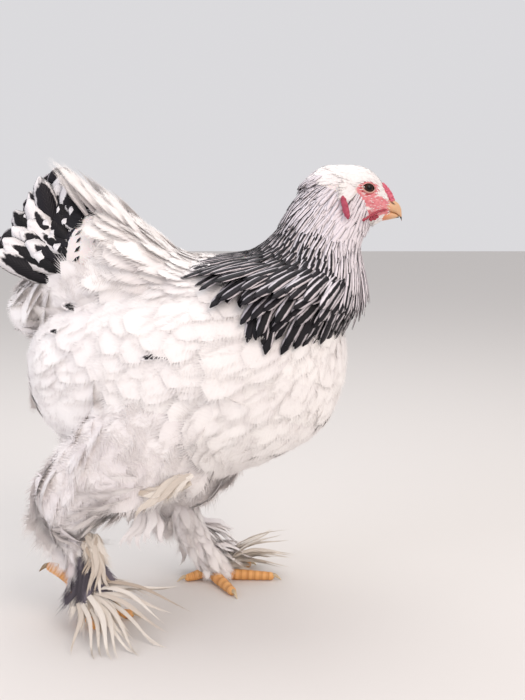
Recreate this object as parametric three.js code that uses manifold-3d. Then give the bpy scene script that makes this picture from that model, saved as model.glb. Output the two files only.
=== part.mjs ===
// A life-size light brahma hen, standing in mid step, as a still museum model.
// Millimetres, +Z up, the hen faces +X and her left side is +Y. The floor is z = 0.
import * as THREE from "three";
import { mergeVertices } from "three/addons/utils/BufferGeometryUtils.js";
import Module from "manifold-3d";

const wasm = await Module();
wasm.setup();
const { Manifold, Mesh } = wasm;

// Driving sizes
const seam = 0.35; // gap kept between touching nodes
const eye = { x: 192, y: 11.5, z: 499.5, radius: 8 };
const nape = { x: 165, z: 486, nx: 0.557, nz: 0.83 }; // the cut that parts head and neck
const lid = { halfLength: 6.2, halfHeight: 5, thick: 1.3, turn: 0.27, rise: 0.12, slant: 12, out: 6.2 };
const mouth = { corner: { x: 204, z: 472 }, length: 30, gap: 0.8, fall: -3 };
const comb = { back: { x: 211, z: 507 }, front: { x: 227, z: 485 }, crown: 2.5 };
const wingSize = { x: 12, z: 336, halfLength: 104, halfHeight: 42, droop: 9, thick: 8 };
const clawLength = 15;
const vaneThick = 0.8;
const vaneSlope = 0.11; // rise of a feather over the body for each millimetre of its length
const vaneLift = 0.7; // height over the body where a feather comes out
const rootDepth = 2.5;

// Outlines of feathers: places along the length, and half widths as shares of the widest
const lance = { along: [0, 0.55, 1], half: [0.6, 1, 0.12] };
const rounded = { along: [0, 0.72, 1], half: [0.55, 1, 0.42] };
const quill = { along: [0, 0.14, 0.8, 1], half: [0.5, 0.9, 1, 0.42] };
const blade = { along: [0, 0.35, 0.88, 1], half: [0.5, 0.9, 1, 0.4] };
const lock = { along: [0, 0.4, 1], half: [0.7, 1, 0.1] };

const rad = (degrees) => (degrees * Math.PI) / 180;
const mix = (a, b, t) => a + (b - a) * t;
const vec = (x, y, z) => new THREE.Vector3(x, y, z);

// The same run of chance each time
let seed = 20;
function random() {
  seed = (seed * 16807) % 2147483647;
  return seed / 2147483647;
}

// Smooth value between four neighbouring keys
function catmull(p0, p1, p2, p3, t) {
  const slope = (p2 - p0) * t;
  const bend = (2 * p0 - 5 * p1 + 4 * p2 - p3) * t * t;
  const twist = (3 * p1 - p0 - 3 * p2 + p3) * t * t * t;
  return 0.5 * (2 * p1 + slope + bend + twist);
}

// A rounded body through key rings. Each ring has a centre, a tilt of its "up" direction
// towards the tail, and radii upwards, downwards and sideways. Station s counts the rings.
class Body {
  constructor(rings, power = 2.2) {
    this.rings = rings;
    this.power = power;
    this.last = rings.length - 1;
  }

  ring(s) {
    const clamped = Math.min(Math.max(s, 0), this.last);
    const i = Math.min(Math.floor(clamped), this.last - 1);
    const key = (k) => this.rings[Math.min(Math.max(k, 0), this.last)];
    const out = {};
    for (const name of Object.keys(this.rings[0])) {
      out[name] = catmull(key(i - 1)[name], key(i)[name], key(i + 1)[name], key(i + 2)[name], clamped - i);
    }
    for (const name of ["up", "down", "side"]) out[name] = Math.max(out[name], 0);
    return out;
  }

  // The point at station s and angle a, h above the surface. 0 is the left side, 90 the top.
  at(s, a, h = 0) {
    const r = this.ring(s);
    const c = Math.cos(rad(a));
    const d = Math.sin(rad(a));
    const bend = 2 / this.power;
    const across = Math.sign(c) * Math.abs(c) ** bend * (r.side + h);
    const upward = Math.sign(d) * Math.abs(d) ** bend * ((d > 0 ? r.up : r.down) + h);
    return vec(r.x - Math.sin(rad(r.tilt)) * upward, r.y + across, r.z + Math.cos(rad(r.tilt)) * upward);
  }

  solid(steps, around, h = 0) {
    const rings = [];
    for (let i = 0; i <= steps; i++) {
      const s = (i / steps) * this.last;
      rings.push(Array.from({ length: around }, (_, k) => this.at(s, (k * 360) / around, h)));
    }
    return closedLoft(rings);
  }
}

// An upright section across X, given by its top, bottom, half width and widest height
const upright = (x, top, bottom, side, widest) => ({
  x,
  y: 0,
  z: widest,
  tilt: 0,
  up: top - widest,
  down: widest - bottom,
  side,
});

// A section square to a bent axis, given by its centre, tilt, half depth and half width
const across = (x, y, z, tilt, depth, side) => ({ x, y, z, tilt, up: depth, down: depth, side });

// A closed solid from points and triangles, facing out
function solidFrom(points, triangles) {
  const flat = new THREE.BufferGeometry();
  flat.setAttribute("position", new THREE.Float32BufferAttribute(points.flatMap((p) => p.toArray()), 3));
  flat.setIndex(triangles.flat());
  const merged = mergeVertices(flat, 1e-3);
  const kept = [];
  const index = merged.index.array;
  for (let i = 0; i < index.length; i += 3) {
    const [a, b, c] = [index[i], index[i + 1], index[i + 2]];
    if (a !== b && b !== c && a !== c) kept.push(a, b, c);
  }
  const made = (order) => {
    const vertProperties = merged.attributes.position.array;
    return new Manifold(new Mesh({ numProp: 3, vertProperties, triVerts: new Uint32Array(order) }));
  };
  const solid = made(kept);
  if (solid.volume() > 0) return solid;
  for (let i = 0; i < kept.length; i += 3) [kept[i + 1], kept[i + 2]] = [kept[i + 2], kept[i + 1]];
  return made(kept);
}

// A closed surface over rings of equal count, with a fan on each end
function closedLoft(rings) {
  const points = rings.flat();
  const triangles = [];
  const n = rings[0].length;
  for (let i = 0; i + 1 < rings.length; i++) {
    for (let k = 0; k < n; k++) {
      const a = i * n + k;
      const b = i * n + ((k + 1) % n);
      triangles.push([a, b, b + n], [a, b + n, a + n]);
    }
  }
  for (const i of [0, rings.length - 1]) {
    const middle = points.length;
    points.push(rings[i].reduce((sum, p) => sum.add(p), vec(0, 0, 0)).divideScalar(n));
    for (let k = 0; k < n; k++) {
      const a = i * n + k;
      const b = i * n + ((k + 1) % n);
      triangles.push(i === 0 ? [middle, b, a] : [middle, a, b]);
    }
  }
  return solidFrom(points, triangles);
}

function solidOf(geometry) {
  const bare = geometry.clone();
  bare.deleteAttribute("normal");
  bare.deleteAttribute("uv");
  const merged = mergeVertices(bare, 1e-3);
  const p = merged.attributes.position;
  const points = Array.from({ length: p.count }, (_, i) => vec(p.getX(i), p.getY(i), p.getZ(i)));
  const triangles = Array.from({ length: merged.index.count / 3 }, (_, i) => [
    merged.index.getX(i * 3),
    merged.index.getX(i * 3 + 1),
    merged.index.getX(i * 3 + 2),
  ]);
  return solidFrom(points, triangles);
}

function ball(x, y, z, rx, ry, rz, around = 12, down = 8) {
  const g = new THREE.SphereGeometry(1, around, down);
  g.rotateX(Math.PI / 2);
  g.scale(rx, ry, rz);
  g.translate(x, y, z);
  return solidOf(g);
}

// A large block on the far side of a plane, to cut with
function blockBeyond(x, y, z, nx, ny, nz) {
  const size = 900;
  const g = new THREE.BoxGeometry(size, size, size);
  const n = vec(nx, ny, nz).normalize();
  g.applyQuaternion(new THREE.Quaternion().setFromUnitVectors(vec(0, 0, 1), n));
  g.translate(x + (n.x * size) / 2, y + (n.y * size) / 2, z + (n.z * size) / 2);
  return solidOf(g);
}

const largest = (solid) => solid.decompose().sort((a, b) => b.volume() - a.volume())[0];
const fuse = (pieces) => pieces.reduce((all, piece) => all.add(piece));

// What is left of a solid beside its neighbours, as one closed piece
const beside = (solid, ...neighbours) =>
  largest(neighbours.reduce((rest, other) => rest.subtract(other), solid));

// A little more than a small solid all round, to keep a neighbour off it
function swollen(solid, by = seam) {
  const ways = [
    [by, 0, 0],
    [-by, 0, 0],
    [0, by, 0],
    [0, -by, 0],
    [0, 0, by],
    [0, 0, -by],
  ];
  return ways.reduce((all, way) => all.add(solid.translate(way)), solid);
}

const belowFloor = blockBeyond(0, 0, 0, 0, 0, -1);

// A round limb along a path of points, with radii spread evenly along it
function limb(path, radii, steps, around) {
  const curve = new THREE.CatmullRomCurve3(path.map((p) => vec(...p)));
  const { normals, binormals } = curve.computeFrenetFrames(steps);
  const rings = normals.map((normal, i) => {
    const centre = curve.getPointAt(i / steps);
    const q = (i / steps) * (radii.length - 1);
    const j = Math.min(Math.floor(q), radii.length - 2);
    const r = mix(radii[j], radii[j + 1], q - j);
    const point = (a) =>
      centre.clone().addScaledVector(normal, Math.cos(a) * r).addScaledVector(binormals[i], Math.sin(a) * r);
    return Array.from({ length: around }, (_, k) => point((k / around) * Math.PI * 2));
  });
  return closedLoft(rings);
}

// One feather: a thin blade through stations that give its middle, the way out and a half width.
// Both faces are split alike, so that a bent blade keeps its thickness.
function vane(stations, thick = vaneThick) {
  const points = [];
  const triangles = [];
  stations.forEach(({ p, out, half }, i) => {
    const next = stations[Math.min(i + 1, stations.length - 1)].p;
    const way = next.clone().sub(stations[Math.max(i - 1, 0)].p).normalize();
    const side = way.clone().cross(out).normalize();
    const face = side.clone().cross(way);
    const deep = (i === stations.length - 1 ? 0.6 : 1) * (thick / 2);
    for (const [u, v] of [
      [half, deep],
      [-half, deep],
      [-half, -deep],
      [half, -deep],
    ]) {
      points.push(p.clone().addScaledVector(side, u).addScaledVector(face, v));
    }
    if (i === 0) return;
    const a = 4 * (i - 1);
    const b = 4 * i;
    triangles.push([a, a + 1, b + 1], [a, b + 1, b], [a + 3, b + 2, a + 2], [a + 3, b + 3, b + 2]);
    triangles.push([a + 1, a + 2, b + 2], [a + 1, b + 2, b + 1], [a + 3, a, b], [a + 3, b, b + 3]);
  });
  const b = 4 * (stations.length - 1);
  triangles.push([0, 3, 2], [0, 2, 1], [b, b + 1, b + 2], [b, b + 2, b + 3]);
  return solidFrom(points, triangles);
}

// A feather that lies on a body. Its root is sunk at (s, a), and it follows the surface towards
// higher s (way 1) or lower s (way -1), rising a little all the way to lie over the next ones.
// A roll turns it about its own length, so that it tucks under its neighbour on one side.
function featherOn(body, { s, a, way, length, width, shape, slope = vaneSlope, roll = 0, clear }) {
  const stations = [];
  let here = 0;
  for (const [i, share] of shape.along.entries()) {
    const distance = share * length;
    while (here < distance) {
      const step = Math.min(3, distance - here);
      const rate = Math.max(body.at(s + 0.01, a).distanceTo(body.at(s - 0.01, a)) / 0.02, 6);
      s += (way * step) / rate;
      here += step;
    }
    const h = i === 0 ? -rootDepth : vaneLift + slope * distance;
    const p = body.at(s, a, h);
    const out = body.at(s, a, h + 1).sub(p).normalize();
    if (roll) {
      const ahead = body.at(s + way * 0.02, a, h).sub(p).normalize();
      out.applyAxisAngle(ahead, rad(roll));
    }
    if (clear) clear(p, out, h);
    stations.push({ p, out, half: (width / 2) * shape.half[i] });
  }
  return vane(stations);
}

// A free feather from a root to a tip, bowed towards its face
function featherTo(root, tip, out, width, shape, bow = 0) {
  const stations = shape.along.map((t, i) => {
    const p = root.clone().lerp(tip, t).addScaledVector(out, bow * 4 * t * (1 - t));
    return { p, out, half: (width / 2) * shape.half[i] };
  });
  return vane(stations);
}

// Torso
const torso = new Body([
  upright(-198, 286, 284, 0, 285),
  upright(-191, 330, 248, 44, 292),
  upright(-170, 362, 216, 71, 295),
  upright(-130, 388, 190, 92, 292),
  upright(-80, 410, 168, 106, 290),
  upright(-25, 420, 160, 113, 290),
  upright(30, 420, 164, 113, 292),
  upright(80, 413, 182, 103, 297),
  upright(122, 398, 204, 84, 303),
  upright(150, 374, 232, 58, 307),
  upright(164, 344, 268, 30, 308),
  upright(168, 312, 308, 0, 310),
]);
const torsoSolid = torso.solid(20, 18);
const torsoRoom = torso.solid(20, 18, seam);

// Station of the torso that lies at a given x
function torsoStation(x) {
  let low = 0;
  let high = torso.last;
  for (let i = 0; i < 24; i++) {
    const middle = (low + high) / 2;
    if (torso.ring(middle).x < x) low = middle;
    else high = middle;
  }
  return low;
}

// How far out a place lies compared with the torso's surface there, which is 1
function torsoShare(p) {
  const r = torso.ring(torsoStation(p.x));
  const reach = p.z > r.z ? r.up : r.down;
  const acrossPart = Math.abs(p.y / Math.max(r.side, 1)) ** torso.power;
  const upPart = Math.abs((p.z - r.z) / Math.max(reach, 1)) ** torso.power;
  return (acrossPart + upPart) ** (1 / torso.power);
}

// How fast that share grows along each axis
function torsoGrowth(p) {
  const e = 0.5;
  return vec(
    torsoShare(vec(p.x + e, p.y, p.z)) - torsoShare(vec(p.x - e, p.y, p.z)),
    torsoShare(vec(p.x, p.y + e, p.z)) - torsoShare(vec(p.x, p.y - e, p.z)),
    torsoShare(vec(p.x, p.y, p.z + e)) - torsoShare(vec(p.x, p.y, p.z - e)),
  ).divideScalar(2 * e);
}

// Moves a place straight out of the torso until it clears it by a height, and turns its way out
// towards the torso's own
function clearOfTorso(p, out, by) {
  const start = p.clone();
  for (let i = 0; i < 8; i++) {
    const growth = torsoGrowth(p);
    const height = (torsoShare(p) - 1) / growth.length();
    if (height > by - 0.05) break;
    p.addScaledVector(growth.normalize(), Math.min(by - height, 12));
  }
  const turned = Math.min(start.distanceTo(p) / 4, 1);
  out.lerp(torsoGrowth(p).normalize(), turned).normalize();
}

// How far the folded wing stands out of the flank at a place seen from the side
function wingRise(x, z, grow = 0) {
  const turn = rad(wingSize.droop);
  const [dx, dz] = [x - wingSize.x, z - wingSize.z];
  const p = (dx * Math.cos(turn) + dz * Math.sin(turn)) / (wingSize.halfLength + grow);
  const q = (dz * Math.cos(turn) - dx * Math.sin(turn)) / ((wingSize.halfHeight + grow) * (1 + 0.25 * p));
  const share = Math.min(Math.hypot(p, q), 1);
  return wingSize.thick * Math.sqrt(1 - share ** 2.4);
}

// The point h out from the torso's flank at a given place seen from the side
function onFlank(x, z, side, h) {
  const r = torso.ring(torsoStation(x));
  const reach = (z > r.z ? r.up : r.down) + h;
  const share = Math.min(Math.abs(z - r.z) / reach, 0.97);
  return vec(x, side * (r.side + h) * (1 - share ** torso.power) ** (1 / torso.power), z);
}

// Neck, from the cape over the shoulders up to the head. Its feathers stand over a core.
const neckRings = [
  across(84, 0, 350, 56, 74, 96),
  across(88, 0, 366, 60, 84, 100),
  across(100, 0, 398, 75.6, 93, 90),
  across(127, 0, 416, 76.7, 72, 64),
  across(140, 0, 444, 75.2, 54.8, 46),
  across(151, 0, 468, 68.5, 50.5, 38),
  across(165, 0, 487, 56.1, 46, 32),
  across(176, 0, 502, 52, 38, 26),
];
const coatOfNeck = [7, 7, 7, 6.5, 6, 5, 1.5, 1];
const thinned = (rings, coats) =>
  rings.map((r, i) => ({ ...r, up: r.up - coats[i], down: r.down - coats[i], side: r.side - coats[i] }));
const neckCore = new Body(thinned(neckRings, coatOfNeck), 2.1);
const pastNape = (by, way) => {
  const [x, z] = [nape.x + by * nape.nx, nape.z + by * nape.nz];
  return blockBeyond(x, 0, z, way * nape.nx, 0, way * nape.nz);
};
const headSide = pastNape(-seam / 2, 1);
const neckSide = pastNape(seam / 2, -1);
const hackleTiers = { first: 5.6, last: 2.35, counts: [9, 10, 11, 12, 13], lengths: [42, 50, 57, 62, 64] };

function hackle() {
  const { first, last, counts, lengths } = hackleTiers;
  const feathers = [];
  const clear = (p, out, h) => clearOfTorso(p, out, 0.5 + 0.9 * h + wingRise(p.x, p.z, 3) * 1.3);
  for (const [i, count] of counts.entries()) {
    const s = mix(first, last, i / (counts.length - 1));
    const r = neckCore.ring(s);
    const width = ((Math.PI * (r.up + r.side)) / count) * 0.94;
    for (let k = 0; k < count; k++) {
      const a = ((k + (i % 2) / 2) * 360) / count + 90;
      const shorterInFront = 1 - 0.22 * Math.max(0, -Math.sin(rad(a)));
      const length = lengths[i] * (0.93 + 0.14 * random()) * shorterInFront;
      feathers.push(featherOn(neckCore, { s, a, way: -1, length, width, shape: lance, clear }));
    }
  }
  return feathers;
}
const neckShell = fuse([neckCore.solid(10, 12), ...hackle()]).subtract(headSide);
const neckRoom = swollen(neckShell);

// Head
const head = new Body(
  [
    upright(124, 507, 505, 0, 506),
    upright(131, 517, 486, 15, 501),
    upright(146, 525, 468, 24, 497),
    upright(164, 526, 457, 26, 493),
    upright(180, 526, 454, 22, 490),
    upright(193, 523, 455, 18.5, 488),
    upright(204, 515, 458, 15, 485),
    upright(213, 503, 463, 11.5, 481),
    upright(219, 491, 467, 8, 479),
    upright(220.5, 480, 478, 0, 479),
  ],
  2.15,
);
const headShell = head.solid(16, 16);
const headRoom = head.solid(16, 16, seam);
const eyeball = (side, grow = 0) => {
  const r = eye.radius + grow;
  return ball(eye.x, eye.y * side, eye.z, r, r, r, 11, 8);
};

// The rim of the lids: an almond ring that stands out of the face round the eye
function lids(side) {
  const g = new THREE.TorusGeometry(lid.halfLength, lid.thick, 4, 12);
  g.scale(1, lid.halfHeight / lid.halfLength, 1);
  const way = vec(lid.turn, side, lid.rise).normalize();
  g.applyQuaternion(new THREE.Quaternion().setFromUnitVectors(vec(0, 0, side), vec(0, 1, 0)));
  g.rotateY(side * rad(lid.slant));
  g.applyQuaternion(new THREE.Quaternion().setFromUnitVectors(vec(0, side, 0), way));
  const middle = vec(eye.x, eye.y * side, eye.z).addScaledVector(way, lid.out);
  g.translate(middle.x, middle.y, middle.z);
  return solidOf(g);
}

// A flat slot through the face at the line of the mouth, back to its corner
function mouthSlot() {
  const g = new THREE.BoxGeometry(mouth.length, 60, mouth.gap);
  g.rotateY(rad(mouth.fall));
  g.translate(mouth.corner.x + mouth.length / 2, 0, mouth.corner.z);
  return solidOf(g);
}
const headSolid = beside(
  fuse([headShell, lids(1), lids(-1)]),
  neckSide,
  eyeball(1, seam),
  eyeball(-1, seam),
  mouthSlot(),
);

// Beak: two curved horny halves that meet along the mouth
const beakUpper = new Body(
  [
    upright(213, 490, 474, 9.5, 477),
    upright(220, 486, 473, 7.8, 476),
    upright(227, 482, 471, 5.8, 474),
    upright(231.5, 476, 467.5, 3.6, 470),
    upright(233, 468.5, 462.5, 1.6, 464.5),
    upright(233.2, 462.8, 461.6, 0.2, 462),
  ],
  2,
);
const beakLower = new Body(
  [
    upright(213, 473, 462.5, 8, 470),
    upright(220, 472, 464, 6.3, 469.5),
    upright(227, 470, 464.5, 4, 468.5),
    upright(230.3, 467, 464.3, 1.6, 466),
  ],
  2,
);
const beakUpperRoom = beakUpper.solid(8, 8, seam);
const beakLowerRoom = beakLower.solid(5, 8, seam);
const nostril = (side) => ball(222, 6.6 * side, 479.5, 2.4, 1.6, 1.1, 6, 4);
const beakUpperSolid = beside(beakUpper.solid(8, 8), headRoom, nostril(1), nostril(-1));
const beakLowerSolid = beside(beakLower.solid(5, 8), headRoom, beakUpperRoom);

// Comb: three low rows of bulbs, the middle row the highest
function combRow(count, y, size, height) {
  return Array.from({ length: count }, (_, i) => {
    const t = (i + 0.5) / count;
    const x = mix(comb.back.x, comb.front.x, t) + height;
    const z = mix(comb.back.z, comb.front.z, t) + height + comb.crown * Math.sin(Math.PI * t);
    return ball(x, y, z, size, size * 0.8, size, 6, 3);
  });
}
const combShell = fuse([...combRow(5, 0, 4.1, 0), ...combRow(4, 4, 3.3, -1.6), ...combRow(4, -4, 3.3, -1.6)]);
const combSolid = beside(combShell, headRoom, beakUpperRoom);

// Wattles with a fold each, and earlobes
const wattleShell = (side) =>
  fuse([ball(201, 8.8 * side, 461.5, 9.5, 2.8, 7, 10, 6), ball(192, 10.5 * side, 462, 6.5, 2.6, 5, 8, 5)]);
const wattle = (side) => beside(wattleShell(side), headRoom, beakLowerRoom, beakUpperRoom, neckRoom);
const earlobeShell = (side) => ball(169, 25 * side, 478, 4.6, 4.6, 13.5, 8, 6);
const earlobe = (side) => beside(earlobeShell(side), headRoom, neckRoom);

// Tail: a low core of rump and cushion, tiers of soft feathers over it, then the laced coverts
// and the seven pairs of main feathers, which fan out behind like a roof
const tailCore = new Body(
  [
    upright(-197, 372, 344, 0, 358),
    upright(-190, 392, 336, 22, 366),
    upright(-178, 415, 331, 34, 374),
    upright(-164, 440, 330, 44, 382),
    upright(-146, 466, 330, 54, 390),
    upright(-125, 478, 330, 62, 394),
    upright(-100, 474, 330, 69, 396),
    upright(-72, 460, 328, 73, 392),
    upright(-45, 440, 328, 75, 386),
    upright(-20, 423, 328, 74, 378),
    upright(-4, 412, 328, 69, 374),
  ],
  2,
);
const fan = {
  x: -104,
  z: 436,
  ridge: 6.5, // half the gap between the two topmost feathers
  angles: [54, 44, 34, 24, 14, 5, -4],
  reach: [114, 111, 107, 108, 113, 122, 127],
  roof: 20,
  step: 1.4,
  width: 33,
};

// A place in the fan at an angle over the level and a distance from its middle
function inFan(angle, distance, side, inward) {
  const spread = rad(fan.angles[0] - angle) * Math.tan(rad(fan.roof));
  const y = fan.ridge + distance * spread - inward;
  return vec(fan.x - Math.cos(rad(angle)) * distance, y * side, fan.z + Math.sin(rad(angle)) * distance);
}
const fanFace = (angle, side) =>
  vec(Math.sin(rad(angle)), 0, Math.cos(rad(angle)))
    .multiplyScalar(Math.sin(rad(fan.roof)))
    .add(vec(0, side * Math.cos(rad(fan.roof)), 0));

function mainFeathers(side) {
  return fan.angles.map((angle, i) => {
    const root = inFan(angle, 26, side, fan.step * i);
    const tip = inFan(angle, fan.reach[i], side, fan.step * i);
    return featherTo(root, tip, fanFace(angle, side), fan.width, blade, 1.5);
  });
}

// Rows of laced coverts, from the side of the core to the face of the fan
const covertRows = [
  { station: 3.8, back: 24, over: 3.6, shift: 6, places: [0, 1.5, 3, 4.5] },
  { station: 5.9, back: 30, over: 5, shift: -9, places: [0] },
];
function coverts(side) {
  return covertRows.flatMap(({ station, back, over, shift, places }) =>
    places.map((i) => {
      const angle = mix(fan.angles[0], fan.angles.at(-1), i / 6);
      const turn = mix(74, 0, i / 6) - shift;
      const a = side > 0 ? turn : 180 - turn;
      const root = tailCore.at(station, a, -rootDepth);
      const tip = inFan(angle - shift, fan.reach[Math.round(i)] - back, side, fan.step * i - over);
      const coreFace = tailCore.at(station, a, 1).sub(tailCore.at(station, a));
      const out = fanFace(angle, side).add(coreFace).normalize();
      return featherTo(root, tip, out, 33, rounded, 3);
    }),
  );
}

// Soft rounded feathers of the cushion, in tiers that climb over the rump
const cushionTiers = { first: 9.1, last: 5.2, tiers: 4, count: 5, tuck: 9 };
const cushionFeather = { way: -1, length: 60, width: 36, slope: 0.17, shape: rounded };
function cushion() {
  const { first, last, tiers, count, tuck } = cushionTiers;
  const feathers = [];
  for (let i = 0; i < tiers; i++) {
    const s = mix(first, last, i / (tiers - 1));
    for (let k = 0; k < count; k++) {
      const a = mix(6, 174, (k + (i % 2 ? 0.25 : 0.75)) / count);
      const roll = Math.sign(90 - a) * tuck;
      feathers.push(featherOn(tailCore, { ...cushionFeather, s, a, roll }));
    }
  }
  return feathers;
}

// Loose feathers under the tail, which fill the curve below the fan
const underTail = [
  { turn: 34, tip: [-222, 17, 409] },
  { turn: 16, tip: [-218, 15, 388] },
  { turn: -30, tip: [-213, 15, 350] },
  { turn: -2, tip: [-205, 38, 370] },
];
function underTailFeathers(side) {
  return underTail.map(({ turn, tip }) => {
    const a = side > 0 ? turn : 180 - turn;
    const root = tailCore.at(2.6, a, -rootDepth);
    const out = tailCore.at(1.5, a, 1).sub(tailCore.at(1.5, a)).normalize();
    return featherTo(root, vec(tip[0], tip[1] * side, tip[2]), out, 25, rounded, 3);
  });
}
const tailShell = fuse([
  tailCore.solid(11, 12),
  ...cushion(),
  ...[1, -1].flatMap((side) => [...mainFeathers(side), ...coverts(side), ...underTailFeathers(side)]),
]);
const tailSolid = beside(tailShell, torsoRoom);
const tailRoom = tailCore.solid(11, 12, seam + 3);

// Wings, folded against the flanks: a low pad with rows of coverts and the flight feathers
function wingShell(side, grow = 0) {
  const around = 12;
  const turn = rad(wingSize.droop);
  const place = (share, k, h) => {
    const a = (k / around) * Math.PI * 2;
    const p = Math.cos(a) * share * (wingSize.halfLength + grow);
    const q = Math.sin(a) * share * (wingSize.halfHeight + grow) * (1 + 0.25 * Math.cos(a));
    const x = wingSize.x + p * Math.cos(turn) - q * Math.sin(turn);
    const z = wingSize.z + p * Math.sin(turn) + q * Math.cos(turn);
    return onFlank(x, z, side, h);
  };
  const shares = [0.35, 0.75, 1];
  const ring = (share, h) => Array.from({ length: around }, (_, k) => place(share, k, h));
  const outer = shares.map((share) => ring(share, 1 + grow + wingSize.thick * Math.sqrt(1 - share ** 2.4)));
  const inner = shares.toReversed().map((share) => ring(share, -3));
  return closedLoft([...outer, ...inner]);
}

// A feather laid on the wing between two places seen from the side
function wingFeather(side, from, to, width, shape, over) {
  const stations = shape.along.map((t, i) => {
    const [x, z] = [mix(from[0], to[0], t), mix(from[1], to[1], t)];
    const length = Math.hypot(to[0] - from[0], to[1] - from[1]);
    const h = wingRise(x, z) + (i === 0 ? -rootDepth + 1 : 1 + over + vaneSlope * 0.5 * length * t);
    const p = onFlank(x, z, side, h);
    const out = onFlank(x, z, side, h + 1).sub(p).normalize();
    return { p, out, half: (width / 2) * shape.half[i] };
  });
  return vane(stations);
}
const wingRows = [
  { count: 4, from: [46, 366], fromEnd: [58, 312], to: [-88, 352], toEnd: [-34, 305], width: 20, over: 0.9 },
  { count: 4, from: [62, 370], fromEnd: [80, 314], to: [-4, 361], toEnd: [30, 303], width: 23, over: 4.4 },
];
function wingFeathers(side) {
  return wingRows.flatMap(({ count, from, fromEnd, to, toEnd, width, over }) =>
    Array.from({ length: count }, (_, k) => {
      const t = k / (count - 1);
      const start = [mix(from[0], fromEnd[0], t), mix(from[1], fromEnd[1], t)];
      const end = [mix(to[0], toEnd[0], t), mix(to[1], toEnd[1], t)];
      return wingFeather(side, start, end, width, quill, over - 0.5 * k);
    }),
  );
}
const wingRoom = (side) => wingShell(side, seam + 3);
const wing = (side) => beside(fuse([wingShell(side), ...wingFeathers(side)]), torsoRoom, tailRoom, neckRoom);
const neckSolid = beside(neckShell, torsoRoom);

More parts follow.
